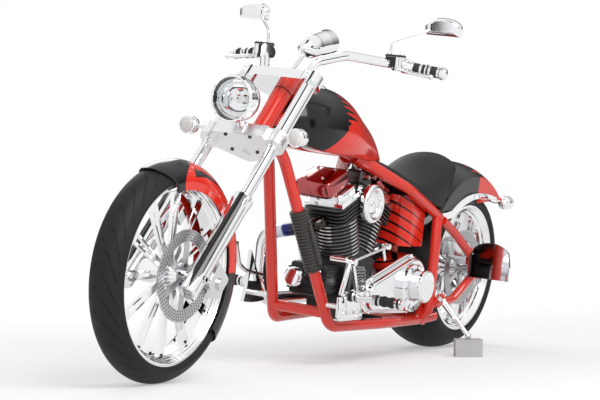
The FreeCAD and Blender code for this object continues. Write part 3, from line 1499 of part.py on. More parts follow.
builders = {
    "swingarm": swingarm,
    "fuel_tank": fuel_tank,
    "fuel_cap": fuel_cap,
    "seat": seat,
    "rear_fender": rear_fender,
    "fender_struts": fender_struts,
    "rear_lamps": rear_lamps,
    "oil_tank": oil_tank,
    "crankcase": crankcase,
    "rocker_boxes": rocker_boxes,
    "horn_cover": horn_cover,
    "intake": intake,
    "primary_cover": primary_cover,
    "transmission": transmission,
    "exhausts": exhausts,
    "drive_belt": drive_belt,
    "left_foot_controls": left_foot_controls,
    "right_foot_controls": right_foot_controls,
    "regulator": regulator,
    "plate_bracket": plate_bracket,
    "rear_caliper": rear_caliper,
    "rear_axle": rear_axle,
    "lower_tree": lower_tree,
    "upper_tree": upper_tree,
    "fork_leg_left": lambda: fork_leg(1),
    "fork_leg_right": lambda: fork_leg(-1),
    "front_axle": front_axle,
    "headlight": headlight,
    "headlight_lens": headlight_lens,
    "front_fender": front_fender,
    "handlebar": handlebar,
    "grips": grips,
    "clutch_control": lambda: hand_control(1),
    "brake_control": lambda: hand_control(-1),
    "mirrors": mirrors,
    "gauge": gauge,
    "front_signals": front_signals,
    "front_caliper": front_caliper,
    "front_tyre": front_tyre,
    "front_wheel": front_wheel,
    "front_disc": lambda: brake_disc(front_hub, front_disc_y, axle_bore_front),
    "rear_tyre": rear_tyre,
    "rear_wheel": rear_wheel,
    "rear_disc": lambda: brake_disc(rear_hub, rear_disc_y, axle_bore_rear),
    "rear_pulley": rear_pulley,
    "side_stand": side_stand,
}


def build_upright():
    """All pieces of the upright machine by name."""
    pieces = {name: make() for name, make in builders.items()}
    pieces["backbone"], pieces["cradle_left"], pieces["cradle_right"] = frame_set()
    pieces["front_cylinder"], pieces["rear_cylinder"] = cylinder_pair()
    return pieces


def tyre_rise(radius, crown):
    """How far a tyre's axle must rise for its crown to touch the floor when it leans."""
    cosine = math.cos(math.radians(lean))
    return (radius - crown) * cosine + crown - radius * cosine


def parked():
    """Placement that leans the machine to its left with both tyres on the floor."""
    rise_front = tyre_rise(front_tyre_radius, front_crown_radius)
    rise_rear = tyre_rise(rear_tyre_radius, rear_crown_radius)
    pitch = math.degrees(math.atan2(rise_rear - rise_front, wheelbase))
    roll = FreeCAD.Rotation(Vec(1, 0, 0), -lean)
    nose_down = FreeCAD.Rotation(side_axis, pitch)
    return FreeCAD.Placement(Vec(0, 0, rise_rear), nose_down.multiply(roll))


def stand_block(foot):
    """Grey block on the floor under the side stand's rounded foot, given the foot's centre."""
    half = block_side / 2
    block = box((-half, half), (-half, half), (0, foot.z - stand_foot_radius - 0.2))
    block.rotate(Vec(0, 0, 0), up_axis, 30.0)
    block.translate(Vec(foot.x, foot.y, 0))
    return block


def footprint_middle(pieces):
    """Middle of the whole machine's outline seen from above."""
    points = [point for shape in pieces.values() for point in shape.tessellate(0.5)[0]]
    across = [point.x for point in points]
    along = [point.y for point in points]
    return Vec((min(across) + max(across)) / 2, (min(along) + max(along)) / 2, 0)


def build():
    """All pieces of the parked machine, with the middle of its footprint as zero."""
    place = parked()
    pieces = {}
    for name, shape in build_upright().items():
        moved = shape.copy()
        moved.Placement = place.multiply(moved.Placement)
        pieces[name] = moved
    pieces["stand_block"] = stand_block(place.multVec(stand_foot))
    shift = -footprint_middle(pieces)
    for shape in pieces.values():
        shape.translate(shift)
    return pieces, shift, place


os.makedirs("parts", exist_ok=True)
machine, shift, place = build()
for name, shape in machine.items():
    shape.exportStep(f"parts/{name}.step")
    print(name, len(shape.Solids), round(shape.Volume / 1000.0, 1), "cm3", shape.isValid())
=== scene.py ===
"""Finish, small parts, studio and camera of a chopper motorcycle parked on its side stand."""

import json
import logging
import math
from dataclasses import dataclass
from enum import Enum
from typing import Any, Iterable, Sequence

import bmesh
import bpy
from mathutils import Euler, Matrix, Vector

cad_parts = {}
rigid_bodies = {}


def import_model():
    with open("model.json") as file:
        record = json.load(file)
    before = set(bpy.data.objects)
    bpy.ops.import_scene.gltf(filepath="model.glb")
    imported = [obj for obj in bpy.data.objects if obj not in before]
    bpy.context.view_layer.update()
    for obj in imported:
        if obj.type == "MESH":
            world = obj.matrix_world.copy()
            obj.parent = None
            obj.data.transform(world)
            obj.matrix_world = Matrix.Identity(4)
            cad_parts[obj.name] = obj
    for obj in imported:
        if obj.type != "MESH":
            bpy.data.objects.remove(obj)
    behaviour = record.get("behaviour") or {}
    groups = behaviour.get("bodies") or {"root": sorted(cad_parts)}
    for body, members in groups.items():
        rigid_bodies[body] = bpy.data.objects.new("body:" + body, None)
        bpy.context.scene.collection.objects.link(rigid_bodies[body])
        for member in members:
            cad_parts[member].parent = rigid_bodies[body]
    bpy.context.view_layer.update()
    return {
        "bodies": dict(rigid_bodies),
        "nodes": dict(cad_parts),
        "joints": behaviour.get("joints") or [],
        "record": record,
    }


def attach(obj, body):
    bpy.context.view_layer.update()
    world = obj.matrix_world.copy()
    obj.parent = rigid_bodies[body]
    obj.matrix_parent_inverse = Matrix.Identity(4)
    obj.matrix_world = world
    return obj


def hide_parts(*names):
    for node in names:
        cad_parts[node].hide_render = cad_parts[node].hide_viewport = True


LOG = logging.getLogger("chopper")
LEAN = math.radians(7.0)
RAKE = math.radians(42.0)
REAR_HUB = Vector((0.0, 0.0, 0.330))
FRONT_HUB = Vector((1.915, 0.0, 0.3505))
CRANK = Vector((0.765, 0.0, 0.280))
CYLINDER_TILT = math.radians(22.5)
GRIP_WAY = Vector((-0.1940, 0.9770, -0.0882))
LEG_SPACING = 0.122
ORIGIN = Vector((0.0, 0.0, 0.0))
AHEAD = Vector((1.0, 0.0, 0.0))
BACKWARDS = Vector((-1.0, 0.0, 0.0))
SIDEWAYS = Vector((0.0, 1.0, 0.0))
UPWARDS = Vector((0.0, 0.0, 1.0))
SIDES = (-1, 1)
WHITE = (1.0, 1.0, 1.0, 1.0)
MERGE = 1e-6
SHARP = math.radians(38.0)

Colour = tuple[float, float, float]
Place = tuple[float, float, float]
Pairs = Sequence[tuple[float, float]]
Profile = Pairs


class Body(Enum):
    """Moving bodies of the machine."""

    CHASSIS = "chassis"
    FRONT_END = "front_end"
    FRONT_WHEEL = "wheel_front"
    REAR_WHEEL = "wheel_rear"
    STAND = "stand"


class Machine:
    """Upright machine's own axes, X forward, Y left, Z up, with zero under the rear axle."""

    def __init__(self, frame: dict[str, Any]) -> None:
        """Reads where the parked machine stands from the rear wheel's joint.
        """
        self.frame = frame
        joints = {joint["name"]: joint for joint in frame["joints"]}
        self.hub = Vector(joints["rear_wheel_spin"]["pos_m"])
        self.turn = Matrix.Rotation(-LEAN, 4, "X")
        self.place = Matrix.Translation(self.hub) @ self.turn @ Matrix.Translation(-REAR_HUB)
        self.back_shift = REAR_HUB - Matrix.Rotation(LEAN, 4, "X") @ self.hub

    def node(self, name: str) -> bpy.types.Object:
        """CAD node of that name."""
        return self.frame["nodes"][name]


def fork(n: float, y: float, s: float) -> Vector:
    """Point of the upright machine given in the fork's frame.

    Args:
        n: Metres in front of the fork legs' plane.
        y: Metres to the left.
        s: Metres up along the legs from the front axle.

    Returns:
        The point.
    """
    ahead = Vector((math.cos(RAKE), 0.0, math.sin(RAKE)))
    along = Vector((-math.sin(RAKE), 0.0, math.cos(RAKE)))
    return FRONT_HUB + ahead * n + along * s + Vector((0.0, y, 0.0))


class Value:
    """A number socket that can be used in Python expressions."""

    def __init__(self, tree: "Tree", socket: Any) -> None:
        """Keeps the socket or plain number and the tree that it belongs to."""
        self.tree = tree
        self.socket = socket

    def apply(self, operation: str, *others: Any) -> "Value":
        """Adds one Math node.

        Args:
            operation: The node's operation.
            others: Second and third values.

        Returns:
            The node's result.
        """
        inputs = {0: self}
        inputs.update({index + 1: other for index, other in enumerate(others)})
        return self.tree.value("ShaderNodeMath", {"operation": operation}, inputs)

    def __add__(self, other: Any) -> "Value":
        """Sum."""
        return self.apply("ADD", other)

    def __radd__(self, other: Any) -> "Value":
        """Sum with a plain number first."""
        return self.apply("ADD", other)

    def __sub__(self, other: Any) -> "Value":
        """Difference."""
        return self.apply("SUBTRACT", other)

    def __rsub__(self, other: Any) -> "Value":
        """Difference with a plain number first."""
        return Value(self.tree, other).apply("SUBTRACT", self)

    def __mul__(self, other: Any) -> "Value":
        """Product."""
        return self.apply("MULTIPLY", other)

    def __rmul__(self, other: Any) -> "Value":
        """Product with a plain number first."""
        return self.apply("MULTIPLY", other)

    def __truediv__(self, other: Any) -> "Value":
        """Quotient."""
        return self.apply("DIVIDE", other)

    def __gt__(self, other: Any) -> "Value":
        """One where this is greater, else zero."""
        return self.apply("GREATER_THAN", other)

    def __lt__(self, other: Any) -> "Value":
        """One where this is less, else zero."""
        return self.apply("LESS_THAN", other)

    def __abs__(self) -> "Value":
        """Size without its sign."""
        return self.apply("ABSOLUTE")

    def peak(self) -> "Value":
        """Zero in the middle of each whole step and one between two steps."""
        return abs(self.apply("FRACT") - 0.5) * 2.0

    def between(self, low: Any, high: Any) -> "Value":
        """One between two bounds, else zero."""
        return (self > low) * (self < high)


class Tree:
    """Node tree of a material or of the world."""

    def __init__(self, tree: bpy.types.NodeTree) -> None:
        """Keeps the tree."""
        self.tree = tree

    def node(self, kind: str, settings: dict[str, Any], inputs: dict[Any, Any]) -> bpy.types.Node:
        """Adds any node.

        Args:
            kind: The node's type.
            settings: Properties that are set first.
            inputs: Values or links of its sockets.

        Returns:
            The new node.
        """
        made = self.tree.nodes.new(kind)
        for key, setting in settings.items():
            if key == "stops":
                self._stops(made, setting)
            else:
                setattr(made, key, setting)
        for key, given in inputs.items():
            if isinstance(given, Value):
                given = given.socket
            if isinstance(given, bpy.types.NodeSocket):
                self.tree.links.new(given, made.inputs[key])
            else:
                made.inputs[key].default_value = given
        return made

    def _stops(self, ramp: bpy.types.Node, stops: Sequence[tuple[float, Sequence[float]]]) -> None:
        """Gives a colour ramp its stops.

        Args:
            ramp: The colour ramp.
            stops: Position and colour of each stop.
        """
        elements = ramp.color_ramp.elements
        while len(elements) < len(stops):
            elements.new(0.5)
        for element, (position, colour) in zip(elements, stops):
            element.position = position
            element.color = (*colour, 1.0)

    def value(self, kind: str, settings: dict[str, Any], inputs: dict[Any, Any]) -> Value:
        """Adds a node and gives its first output as a value."""
        return Value(self, self.node(kind, settings, inputs).outputs[0])


class Sheet(Tree):
    """Node tree of one material."""

    def __init__(self, name: str, machine: Machine) -> None:
        """Starts an empty material with its output node.

        Args:
            name: The material's name.
            machine: The machine, whose upright axes the patterns use.
        """
        self.machine = machine
        self.material = bpy.data.materials.new(name)
        self.material.use_nodes = True
        super().__init__(self.material.node_tree)
        self.tree.nodes.clear()
        self.output = self.tree.nodes.new("ShaderNodeOutputMaterial")

    def upright(self) -> bpy.types.NodeSocket:
        """Object coordinates turned into the upright machine's axes.

        Returns:
            The vector's socket.
        """
        given = self.node("ShaderNodeTexCoord", {}, {}).outputs["Object"]
        inputs = {"Vector": given, "Rotation": (LEAN, 0.0, 0.0), "Location": tuple(self.machine.back_shift)}
        return self.node("ShaderNodeMapping", {"vector_type": "POINT"}, inputs).outputs[0]

    def axes(self) -> tuple[Value, Value, Value]:
        """Upright place as three values."""
        split = self.node("ShaderNodeSeparateXYZ", {}, {0: self.upright()})
        return tuple(Value(self, socket) for socket in split.outputs)

    def polar(self, hub: Vector) -> tuple[Value, Value, Value]:
        """Distance and angle round a level sideways axis, and the place across.

        Args:
            hub: A point of the axis.

        Returns:
            Radius in metres, angle from straight ahead upwards in radians, and Y in metres.
        """
        x, y, z = self.axes()
        ahead, above = x - hub.x, z - hub.z
        radius = (ahead * ahead + above * above).apply("SQRT")
        return radius, above.apply("ARCTAN2", ahead), y

    def noise(self, scale: float, detail: float = 3.0) -> Value:
        """Soft cloud from 0 to 1 on the upright axes."""
        inputs = {"Vector": self.upright(), "Scale": scale, "Detail": detail}
        return self.value("ShaderNodeTexNoise", {"noise_dimensions": "3D"}, inputs)

    def mix(self, factor: Any, first: Any, second: Any) -> bpy.types.NodeSocket:
        """Colour that goes from the first to the second as the factor goes from 0 to 1.

        Args:
            factor: Share of the second colour.
            first: Colour, or link to one, at 0.
            second: Colour, or link to one, at 1.

        Returns:
            The colour's socket.
        """
        first, second = ((*c, 1.0) if isinstance(c, tuple) else c for c in (first, second))
        inputs = {0: factor, 6: first, 7: second}
        return self.node("ShaderNodeMix", {"data_type": "RGBA"}, inputs).outputs[2]

    def ramp(self, factor: Value, stops: Sequence[tuple[float, Colour]]) -> bpy.types.NodeSocket:
        """Colour ramp over a value."""
        return self.node("ShaderNodeValToRGB", {"stops": stops}, {0: factor}).outputs[0]

    def smooth(self, value: Value, low: float, high: float) -> Value:
        """Smooth step from 0 at low to 1 at high."""
        inputs = {0: value, 1: low, 2: high}
        return self.value("ShaderNodeMapRange", {"interpolation_type": "SMOOTHSTEP"}, inputs)

    def bump(self, height: Value, strength: float, depth: float) -> bpy.types.NodeSocket:
        """Normal from a height.

        Args:
            height: Height from 0 to 1.
            strength: How much of it shows.
            depth: Metres that a height of 1 stands for.

        Returns:
            The normal's socket.
        """
        inputs = {"Height": height, "Strength": strength, "Distance": depth}
        return self.node("ShaderNodeBump", {}, inputs).outputs[0]

    def close(self, shader: bpy.types.Node) -> bpy.types.Material:
        """Joins the shader to the output and gives the material."""
        self.tree.links.new(shader.outputs[0], self.output.inputs["Surface"])
        return self.material


@dataclass(frozen=True)
class Finish:
    """One finish: colour, metal, roughness, clear coat, and the small unevenness that it has all over."""

    name: str
    colour: Colour
    metallic: float = 0.0
    roughness: float = 0.4
    coat: float = 0.0
    grain_scale: float = 40.0
    wear: float = 0.04
    grain: float = 0.0
    depth: float = 0.0004
    mottle: float = 0.0
    shine: float = 0.5
    relief: float = 0.5
    coat_roughness: float = 0.03

    def inputs(self) -> dict[str, Any]:
        """Constant values of the shader's sockets.

        Returns:
            Each socket's name and value.
        """
        return {
            "Base Color": (*self.colour, 1.0),
            "Metallic": self.metallic,
            "Roughness": self.roughness,
            "Coat Weight": self.coat,
            "Coat Roughness": self.coat_roughness,
            "Specular IOR Level": self.shine,
        }

    def paint(self, sheet: Sheet) -> dict[str, Any]:
        """Sockets whose value changes over the piece, for finishes that have a pattern."""
        return {}

    def make(self, machine: Machine) -> bpy.types.Material:
        """The finish as a material.

        Args:
            machine: The machine, whose upright axes the patterns use.

        Returns:
            The material.
        """
        sheet = Sheet(self.name, machine)
        cloud = sheet.noise(self.grain_scale)
        inputs = self.inputs()
        inputs["Roughness"] = cloud * self.wear + (self.roughness - self.wear / 2)
        if self.grain:
            inputs["Normal"] = sheet.bump(cloud, self.grain, self.depth)
        if self.mottle:
            darker = tuple(c * (1.0 - self.mottle) for c in self.colour)
            inputs["Base Color"] = sheet.mix(cloud, self.colour, darker)
        inputs.update(self.paint(sheet))
        return sheet.close(sheet.node("ShaderNodeBsdfPrincipled", {}, inputs))


@dataclass(frozen=True)
class Glass(Finish):
    """Clear glass."""

    refraction: float = 1.46

    def inputs(self) -> dict[str, Any]:
        """Constant values, with light passing through."""
        return super().inputs() | {"Transmission Weight": 1.0, "IOR": self.refraction}


@dataclass(frozen=True)
class LickedPaint(Finish):
    """Red paint with a black part whose edge runs out in pointed licks."""

    shine: float = 0.3
    black: Colour = (0.005, 0.005, 0.006)
    blur: float = 0.003

    def blackness(self, sheet: Sheet) -> Value:
        """One where the paint is black, else zero."""
        raise NotImplementedError

    def paint(self, sheet: Sheet) -> dict[str, Any]:
        """Red and black by place."""
        return {"Base Color": sheet.mix(self.blackness(sheet), self.colour, self.black)}


@dataclass(frozen=True)
class TankPaint(LickedPaint):
    """Black front of the tank, whose edge slants forward at its foot and is torn into licks above."""

    blur: float = 0.0012
    edge: float = 1.072
    foot: float = 0.838
    slant: float = 1.38
    middle: float = 0.85
    lick_full: float = 0.875
    fan: float = 1.3
    sharpness: float = 1.5
    pitch: float = 0.2
    reach: float = 0.105

    def blackness(self, sheet: Sheet) -> Value:
        """Black in front of the edge and in its licks.

        Args:
            sheet: Node tree of the material.

        Returns:
            The black's share, from 0 to 1.
        """
        x, y, z = sheet.axes()
        turn = abs(y).apply("ARCTAN2", z - self.middle) + (x - self.edge) * self.fan
        sharp = (1.0 - (turn / self.pitch).peak()).apply("POWER", self.sharpness)
        licks = sharp * self.reach * sheet.smooth(z, self.middle, self.lick_full)
        slope = (self.foot - z).apply("MAXIMUM", 0.0) * self.slant
        return sheet.smooth(x - (self.edge + slope - licks), -self.blur, self.blur)


@dataclass(frozen=True)
class GuardLick:
    """Thin lick along a side of the front mudguard: its Y, drift, share of the full width and start."""

    out: float
    drift: float
    share: float
    start: float


@dataclass(frozen=True)
class FrontGuardPaint(LickedPaint):
    """Black nose of the front mudguard, with an arched edge and thin licks along its sides."""

    half: float = 0.068
    edge: float = math.radians(99.0)
    arch: float = 0.26
    lick_root: float = math.radians(88.0)
    lick_span: float = math.radians(52.0)
    lick_half: float = 0.008
    lick_blur: float = 0.0005
    licks: tuple[GuardLick, ...] = (GuardLick(0.0615, 0.006, 1.0, 0.12), GuardLick(0.030, -0.012, 0.8, 0.34))

    def blackness(self, sheet: Sheet) -> Value:
        """Black ahead of the arched edge and in the side licks.

        Args:
            sheet: Node tree of the material.

        Returns:
            The black's share, from 0 to 1.
        """
        _, angle, y = sheet.polar(FRONT_HUB)
        share = abs(y) / self.half
        black = sheet.smooth(self.edge - share * share * self.arch - angle, -self.blur, self.blur)
        far = (angle - self.lick_root) / self.lick_span
        taper = (1.0 - far).apply("MAXIMUM", 0.0) * self.lick_half
        for lick in self.licks:
            beside = abs(abs(y) - lick.out + far * lick.drift)
            inside = sheet.smooth(taper * lick.share - beside, -self.lick_blur, self.lick_blur)
            black = black.apply("MAXIMUM", inside * (far > lick.start))
        return black


@dataclass(frozen=True)
class RearGuardPaint(LickedPaint):
    """Black front of the rear mudguard, with licks that run back over its crown."""

    edge: float = math.radians(90.0)
    pitch: float = 0.036
    reach: float = 0.34
    slant: float = 0.03
    sharpness: float = 1.4

    def blackness(self, sheet: Sheet) -> Value:
        """Black ahead of the edge and in its licks.

        Args:
            sheet: Node tree of the material.

        Returns:
            The black's share, from 0 to 1.
        """
        _, angle, y = sheet.polar(REAR_HUB)
        lean = (angle - self.edge) * self.slant
        sharp = (1.0 - ((abs(y) + lean) / self.pitch).peak()).apply("POWER", self.sharpness)
        return sheet.smooth(self.edge + sharp * self.reach - angle, -self.blur, self.blur)


@dataclass(frozen=True)
class OilTankPaint(LickedPaint):
    """Red oil tank with dark grooves that fall away to the rear and narrow there."""

    blur: float = 0.05
    pitch: float = 0.0375
    top: float = 0.590
    top_margin: float = 0.01
    front: float = 0.542
    corner: float = 0.138
    sweep: float = 1.64
    fall: float = 0.30
    sag: float = 0.48
    half_run: float = 0.22
    narrow: float = 0.06
    widening: float = 0.22

    def blackness(self, sheet: Sheet) -> Value:
        """Dark in the grooves.

        Args:
            sheet: Node tree of the material.

        Returns:
            The black's share, from 0 to 1.
        """
        x, y, z = sheet.axes()
        run = x - (abs(y) - self.corner) * self.sweep - self.front
        level = z - run * self.fall + run * run * self.sag
        width = sheet.smooth(run, -self.half_run, self.half_run) * self.widening + self.narrow
        rank = (level - self.top) / self.pitch
        groove = sheet.smooth(width - (rank + 0.5).peak(), -self.blur, self.blur)
        return groove * (level < self.top + self.top_margin)


@dataclass(frozen=True)
class Tread(Finish):
    """Tyre rubber with swept grooves over the crown, drawn darker as painted shade, and fine rings on the
    sidewalls.
    """

    relief: float = 0.9
    hub: Vector = FRONT_HUB
    radius: float = 0.3505
    half: float = 0.0615
    count: float = 30.0
    sweep: float = 9.0
    bend: float = 0.4
    groove: float = 0.16
    groove_blur: float = 0.03
    groove_span: tuple[float, float] = (0.10, 0.86)
    groove_shade_colour: Colour = (0.003, 0.003, 0.003)
    groove_depth: float = 0.003
    shoulder: tuple[float, float] = (0.034, 0.026)
    ring_pitch: float = 0.0042
    ring_height: float = 0.12
    pore_scale: float = 180.0
    pore_height: float = 0.05

    def paint(self, sheet: Sheet) -> dict[str, Any]:
        """Grooves and rings: the grooves are deeper and drawn darker as painted shade.

        Args:
            sheet: Node tree of the material.

        Returns:
            Sockets whose value changes over the piece.
        """
        radius, angle, y = sheet.polar(self.hub)
        across = abs(y) / self.half
        turn = angle * (self.count / math.tau) + across * across * (self.sweep / 4.0)
        mirrored = turn - across * self.bend + (y > 0.0) * 0.5
        crown = sheet.smooth(radius, self.radius - self.shoulder[0], self.radius - self.shoulder[1])
        reach = across.between(*self.groove_span)
        cut = sheet.smooth(self.groove - mirrored.peak(), -self.groove_blur, self.groove_blur)
        deep = cut * reach * crown
        rings = ((radius - self.radius) / self.ring_pitch).peak() * (1.0 - crown)
        height = (1.0 - deep) + rings * self.ring_height + sheet.noise(self.pore_scale) * self.pore_height
        return {
            # Painted shade: the grooves' rubber is drawn darker than the crown.
            "Base Color": sheet.mix(deep, self.colour, self.groove_shade_colour),
            "Normal": sheet.bump(height, self.relief, self.groove_depth),
        }


@dataclass(frozen=True)
class DrilledDisc(Finish):
    """Ground brake disc with rows of drilled holes and a bright carrier."""

    relief: float = 0.6
    hub: Vector = FRONT_HUB
    band: tuple[float, float] = (0.108, 0.146)
    margins: tuple[float, float] = (0.002, 0.003)
    row: float = 0.0088
    spacing: float = 1.45
    stagger: float = 0.37
    hole: float = 0.29
    hole_blur: float = 0.04
    hole_shade_colour: Colour = (0.02, 0.02, 0.02)
    hole_depth: float = 0.0015
    hole_roughness: float = 0.4
    mark_pitch: float = 0.0009
    mark_roughness: float = 0.10

    def paint(self, sheet: Sheet) -> dict[str, Any]:
        """Round holes on the band, drawn dark as painted shade, and fine turning marks.

        Args:
            sheet: Node tree of the material.

        Returns:
            Sockets whose value changes over the piece.
        """
        radius, angle, _ = sheet.polar(self.hub)
        inner, outer = self.band
        rows = (radius - inner) / self.row
        rank = rows.apply("FLOOR")
        ring = rank * self.row + (inner + self.row / 2)
        around = angle * ring / (self.row * self.spacing) + rank * self.stagger
        off = (around.apply("FRACT") - 0.5) * self.spacing
        deep = rows.apply("FRACT") - 0.5
        spread = (off * off + deep * deep).apply("SQRT")
        band = radius.between(inner + self.margins[0], outer - self.margins[1])
        hole = sheet.smooth(self.hole - spread, -self.hole_blur, self.hole_blur) * band
        marks = (radius / self.mark_pitch).peak()
        return {
            # Painted shade: the drilled holes are drawn near black.
            "Base Color": sheet.mix(hole, self.colour, self.hole_shade_colour),
            "Roughness": marks * self.mark_roughness + hole * self.hole_roughness + self.roughness,
            "Normal": sheet.bump(1.0 - hole, self.relief, self.hole_depth),
        }


@dataclass(frozen=True)
class BilletWheel(Finish):
    """Polished wheel with turned rings on its rim."""

    relief: float = 0.35
    hub: Vector = FRONT_HUB
    lip: float = 0.289
    shoulder: tuple[float, float] = (0.034, 0.020)
    ring_pitch: float = 0.0075
    ring_sharpness: float = 4.0
    ring_depth: float = 0.0012
    ring_roughness: float = 0.12

    def paint(self, sheet: Sheet) -> dict[str, Any]:
        """Fine turning rings that show only near the rim.

        Args:
            sheet: Node tree of the material.

        Returns:
            Sockets whose value changes over the piece.
        """
        radius, _, _ = sheet.polar(self.hub)
        near = sheet.smooth(radius, self.lip - self.shoulder[0], self.lip - self.shoulder[1])
        rings = (radius / self.ring_pitch).peak().apply("POWER", self.ring_sharpness) * near
        return {
            "Normal": sheet.bump(1.0 - rings, self.relief, self.ring_depth),
            "Roughness": rings * self.ring_roughness + self.roughness,
        }


@dataclass(frozen=True)
class Fins(Finish):
    """Grey barrel whose fins have bright machined edges, below a dark head."""

    tilt: float = CYLINDER_TILT
    half: float = 0.081
    rim: float = 0.0045
    corner: float = 0.0985
    barrel_end: tuple[float, float] = (0.262, 0.250)
    bright: Colour = (0.62, 0.62, 0.62)
    barrel: Colour = (0.13, 0.13, 0.125)
    metal: tuple[float, float] = (0.25, 0.75)
    polish: float = 0.16

    def paint(self, sheet: Sheet) -> dict[str, Any]:
        """Bright where the surface lies near the fins' outer edge, but not on the head's fins.

        Args:
            sheet: Node tree of the material.

        Returns:
            Sockets whose value changes over the piece.
        """
        x, y, z = sheet.axes()
        ahead, above = x - CRANK.x, z - CRANK.z
        across = ahead * math.cos(self.tilt) - above * math.sin(self.tilt)
        along = ahead * math.sin(self.tilt) + above * math.cos(self.tilt)
        reach = abs(across).apply("MAXIMUM", abs(y))
        corner = (across * across + y * y).apply("SQRT")
        near = (reach > self.half - self.rim).apply("MAXIMUM", corner > self.corner)
        barrel = sheet.smooth(along, *self.barrel_end)
        edge = near * barrel
        cast = sheet.mix(barrel, self.colour, self.barrel)
        return {
            "Base Color": sheet.mix(edge, cast, self.bright),
            "Metallic": edge * self.metal[1] + self.metal[0],
            "Roughness": self.roughness - edge * self.polish,
        }


@dataclass(frozen=True)
class HeatedPipe(Finish):
    """Chrome pipe, dark at the front port, with blue and pale heat rings beyond it."""

    port: Vector = Vector((0.948, 0.0, 0.5073))
    reach: float = 0.30
    dark: Colour = (0.05, 0.045, 0.04)
    blue: Colour = (0.03, 0.035, 0.13)
    pale: Colour = (0.60, 0.63, 0.72)

    def paint(self, sheet: Sheet) -> dict[str, Any]:
        """Colour by distance from the port.

        Args:
            sheet: Node tree of the material.

        Returns:
            Sockets whose value changes over the piece.
        """
        inputs = {0: sheet.upright(), 1: tuple(self.port)}
        away = sheet.node("ShaderNodeVectorMath", {"operation": "DISTANCE"}, inputs).outputs["Value"]
        stops = (
            (0.0, self.dark), (0.36, self.dark), (0.44, self.blue), (0.50, self.blue), (0.53, self.pale),
            (0.60, self.pale), (0.62, self.blue), (0.66, self.blue), (0.70, self.colour), (1.0, self.colour),
        )
        return {"Base Color": sheet.ramp(Value(sheet, away) / self.reach, stops)}


@dataclass(frozen=True)
class BandedGrip(Finish):
    """Chrome grip with black rubber bands."""

    start: Vector = Vector((0.9729, 0.3, 1.07))
    way: Vector = GRIP_WAY
    first_band: float = 0.010
    pitch: float = 0.031
    edge: tuple[float, float] = (0.78, 0.70)
    span: tuple[float, float] = (0.012, 0.112)
    rubber: Colour = (0.015, 0.015, 0.015)
    rubber_roughness: float = 0.5

    def paint(self, sheet: Sheet) -> dict[str, Any]:
        """Rubber bands by distance along the grip.

        Args:
            sheet: Node tree of the material.

        Returns:
            Sockets whose value changes over the piece.
        """
        x, y, z = sheet.axes()
        start, way = self.start, self.way
        along = (x - start.x) * way.x + (abs(y) - start.y) * way.y + (z - start.z) * way.z
        bands = sheet.smooth(((along - self.first_band) / self.pitch).peak(), *self.edge)
        band = bands * along.between(*self.span)
        return {
            "Base Color": sheet.mix(band, self.colour, self.rubber),
            "Metallic": 1.0 - band,
            "Roughness": band * self.rubber_roughness + self.roughness,
        }


@dataclass(frozen=True)
class PeggedControls(Finish):
    """Bright foot controls with ribbed rubber on the pegs, and painted shade on the plate behind the forked
    bracket, drawn black so that it reads as an opening.
    """

    peg_span: tuple[float, float] = (0.252, 0.345)
    rings: Pairs = ((0.262, 0.268), (0.326, 0.334))
    peg_heights: tuple[float, float] = (0.236, 0.284)
    rib_pitch: float = 0.0062
    rib_depth: float = 0.0012
    shaded_window_span: tuple[float, float] = (0.190, 0.2085)
    shaded_window_foot: float = 0.288
    rubber: Colour = (0.012, 0.012, 0.012)
    rubber_roughness: float = 0.45

    def paint(self, sheet: Sheet) -> dict[str, Any]:
        """Rubber by place along the pegs, with a bright ring near each end, and the painted shade of the
        bracket's opening by place.

        Args:
            sheet: Node tree of the material.

        Returns:
            Sockets whose value changes over the piece.
        """
        _, y, z = sheet.axes()
        out = abs(y)
        rubber = out.between(*self.peg_span)
        for ring in self.rings:
            rubber = rubber * (1.0 - out.between(*ring))
        rubber = rubber * z.between(*self.peg_heights)
        ribs = (out / self.rib_pitch).peak() * rubber
        # Painted shade: the plate behind the bracket's open window is drawn black like the rubber.
        dark = rubber.apply("MAXIMUM", y.between(*self.shaded_window_span) * (z > self.shaded_window_foot))
        return {
            "Base Color": sheet.mix(dark, self.colour, self.rubber),
            "Metallic": 1.0 - dark,
            "Roughness": rubber * self.rubber_roughness + self.roughness,
            "Normal": sheet.bump(ribs, self.relief, self.rib_depth),
        }


@dataclass(frozen=True)
class HandControls(Finish):
    """Bright clamp and fluid cup beside a black switch housing."""

    inner: float = 0.276
    housing_top: float = 1.104
    lid_heights: tuple[float, float] = (1.1045, 1.1125)
    lid_span: tuple[float, float] = (1.005, 1.054)
    dark: Colour = (0.012, 0.012, 0.013)
    dark_roughness: float = 0.28
    dulling: float = 0.9

    def paint(self, sheet: Sheet) -> dict[str, Any]:
        """Black by distance along the bar, and on the cup's lid.

        Args:
            sheet: Node tree of the material.

        Returns:
            Sockets whose value changes over the piece.
        """
        x, y, z = sheet.axes()
        housing = (abs(y) < self.inner) * (z < self.housing_top)
        lid = z.between(*self.lid_heights) * x.between(*self.lid_span)
        dark = housing.apply("MAXIMUM", lid)
        return {
            "Base Color": sheet.mix(dark, self.colour, self.dark),
            "Metallic": 1.0 - dark * self.dulling,
            "Roughness": dark * self.dark_roughness + self.roughness,
        }


@dataclass(frozen=True)
class RibbedCasting(Finish):
    """Dark casting with fine level ribs."""

    pitch: float = 0.010
    sharpness: float = 2.0
    rib_depth: float = 0.0015
    cloud_scale: float = 60.0
    paling: float = 2.4

    def paint(self, sheet: Sheet) -> dict[str, Any]:
        """Ribs by height.

        Args:
            sheet: Node tree of the material.

        Returns:
            Sockets whose value changes over the piece.
        """
        _, _, z = sheet.axes()
        rib = (z / self.pitch).peak().apply("POWER", self.sharpness)
        paler = tuple(min(1.0, c * self.paling) for c in self.colour)
        return {
            "Base Color": sheet.mix(rib * sheet.noise(self.cloud_scale), self.colour, paler),
            "Normal": sheet.bump(1.0 - rib, self.relief, self.rib_depth),
        }


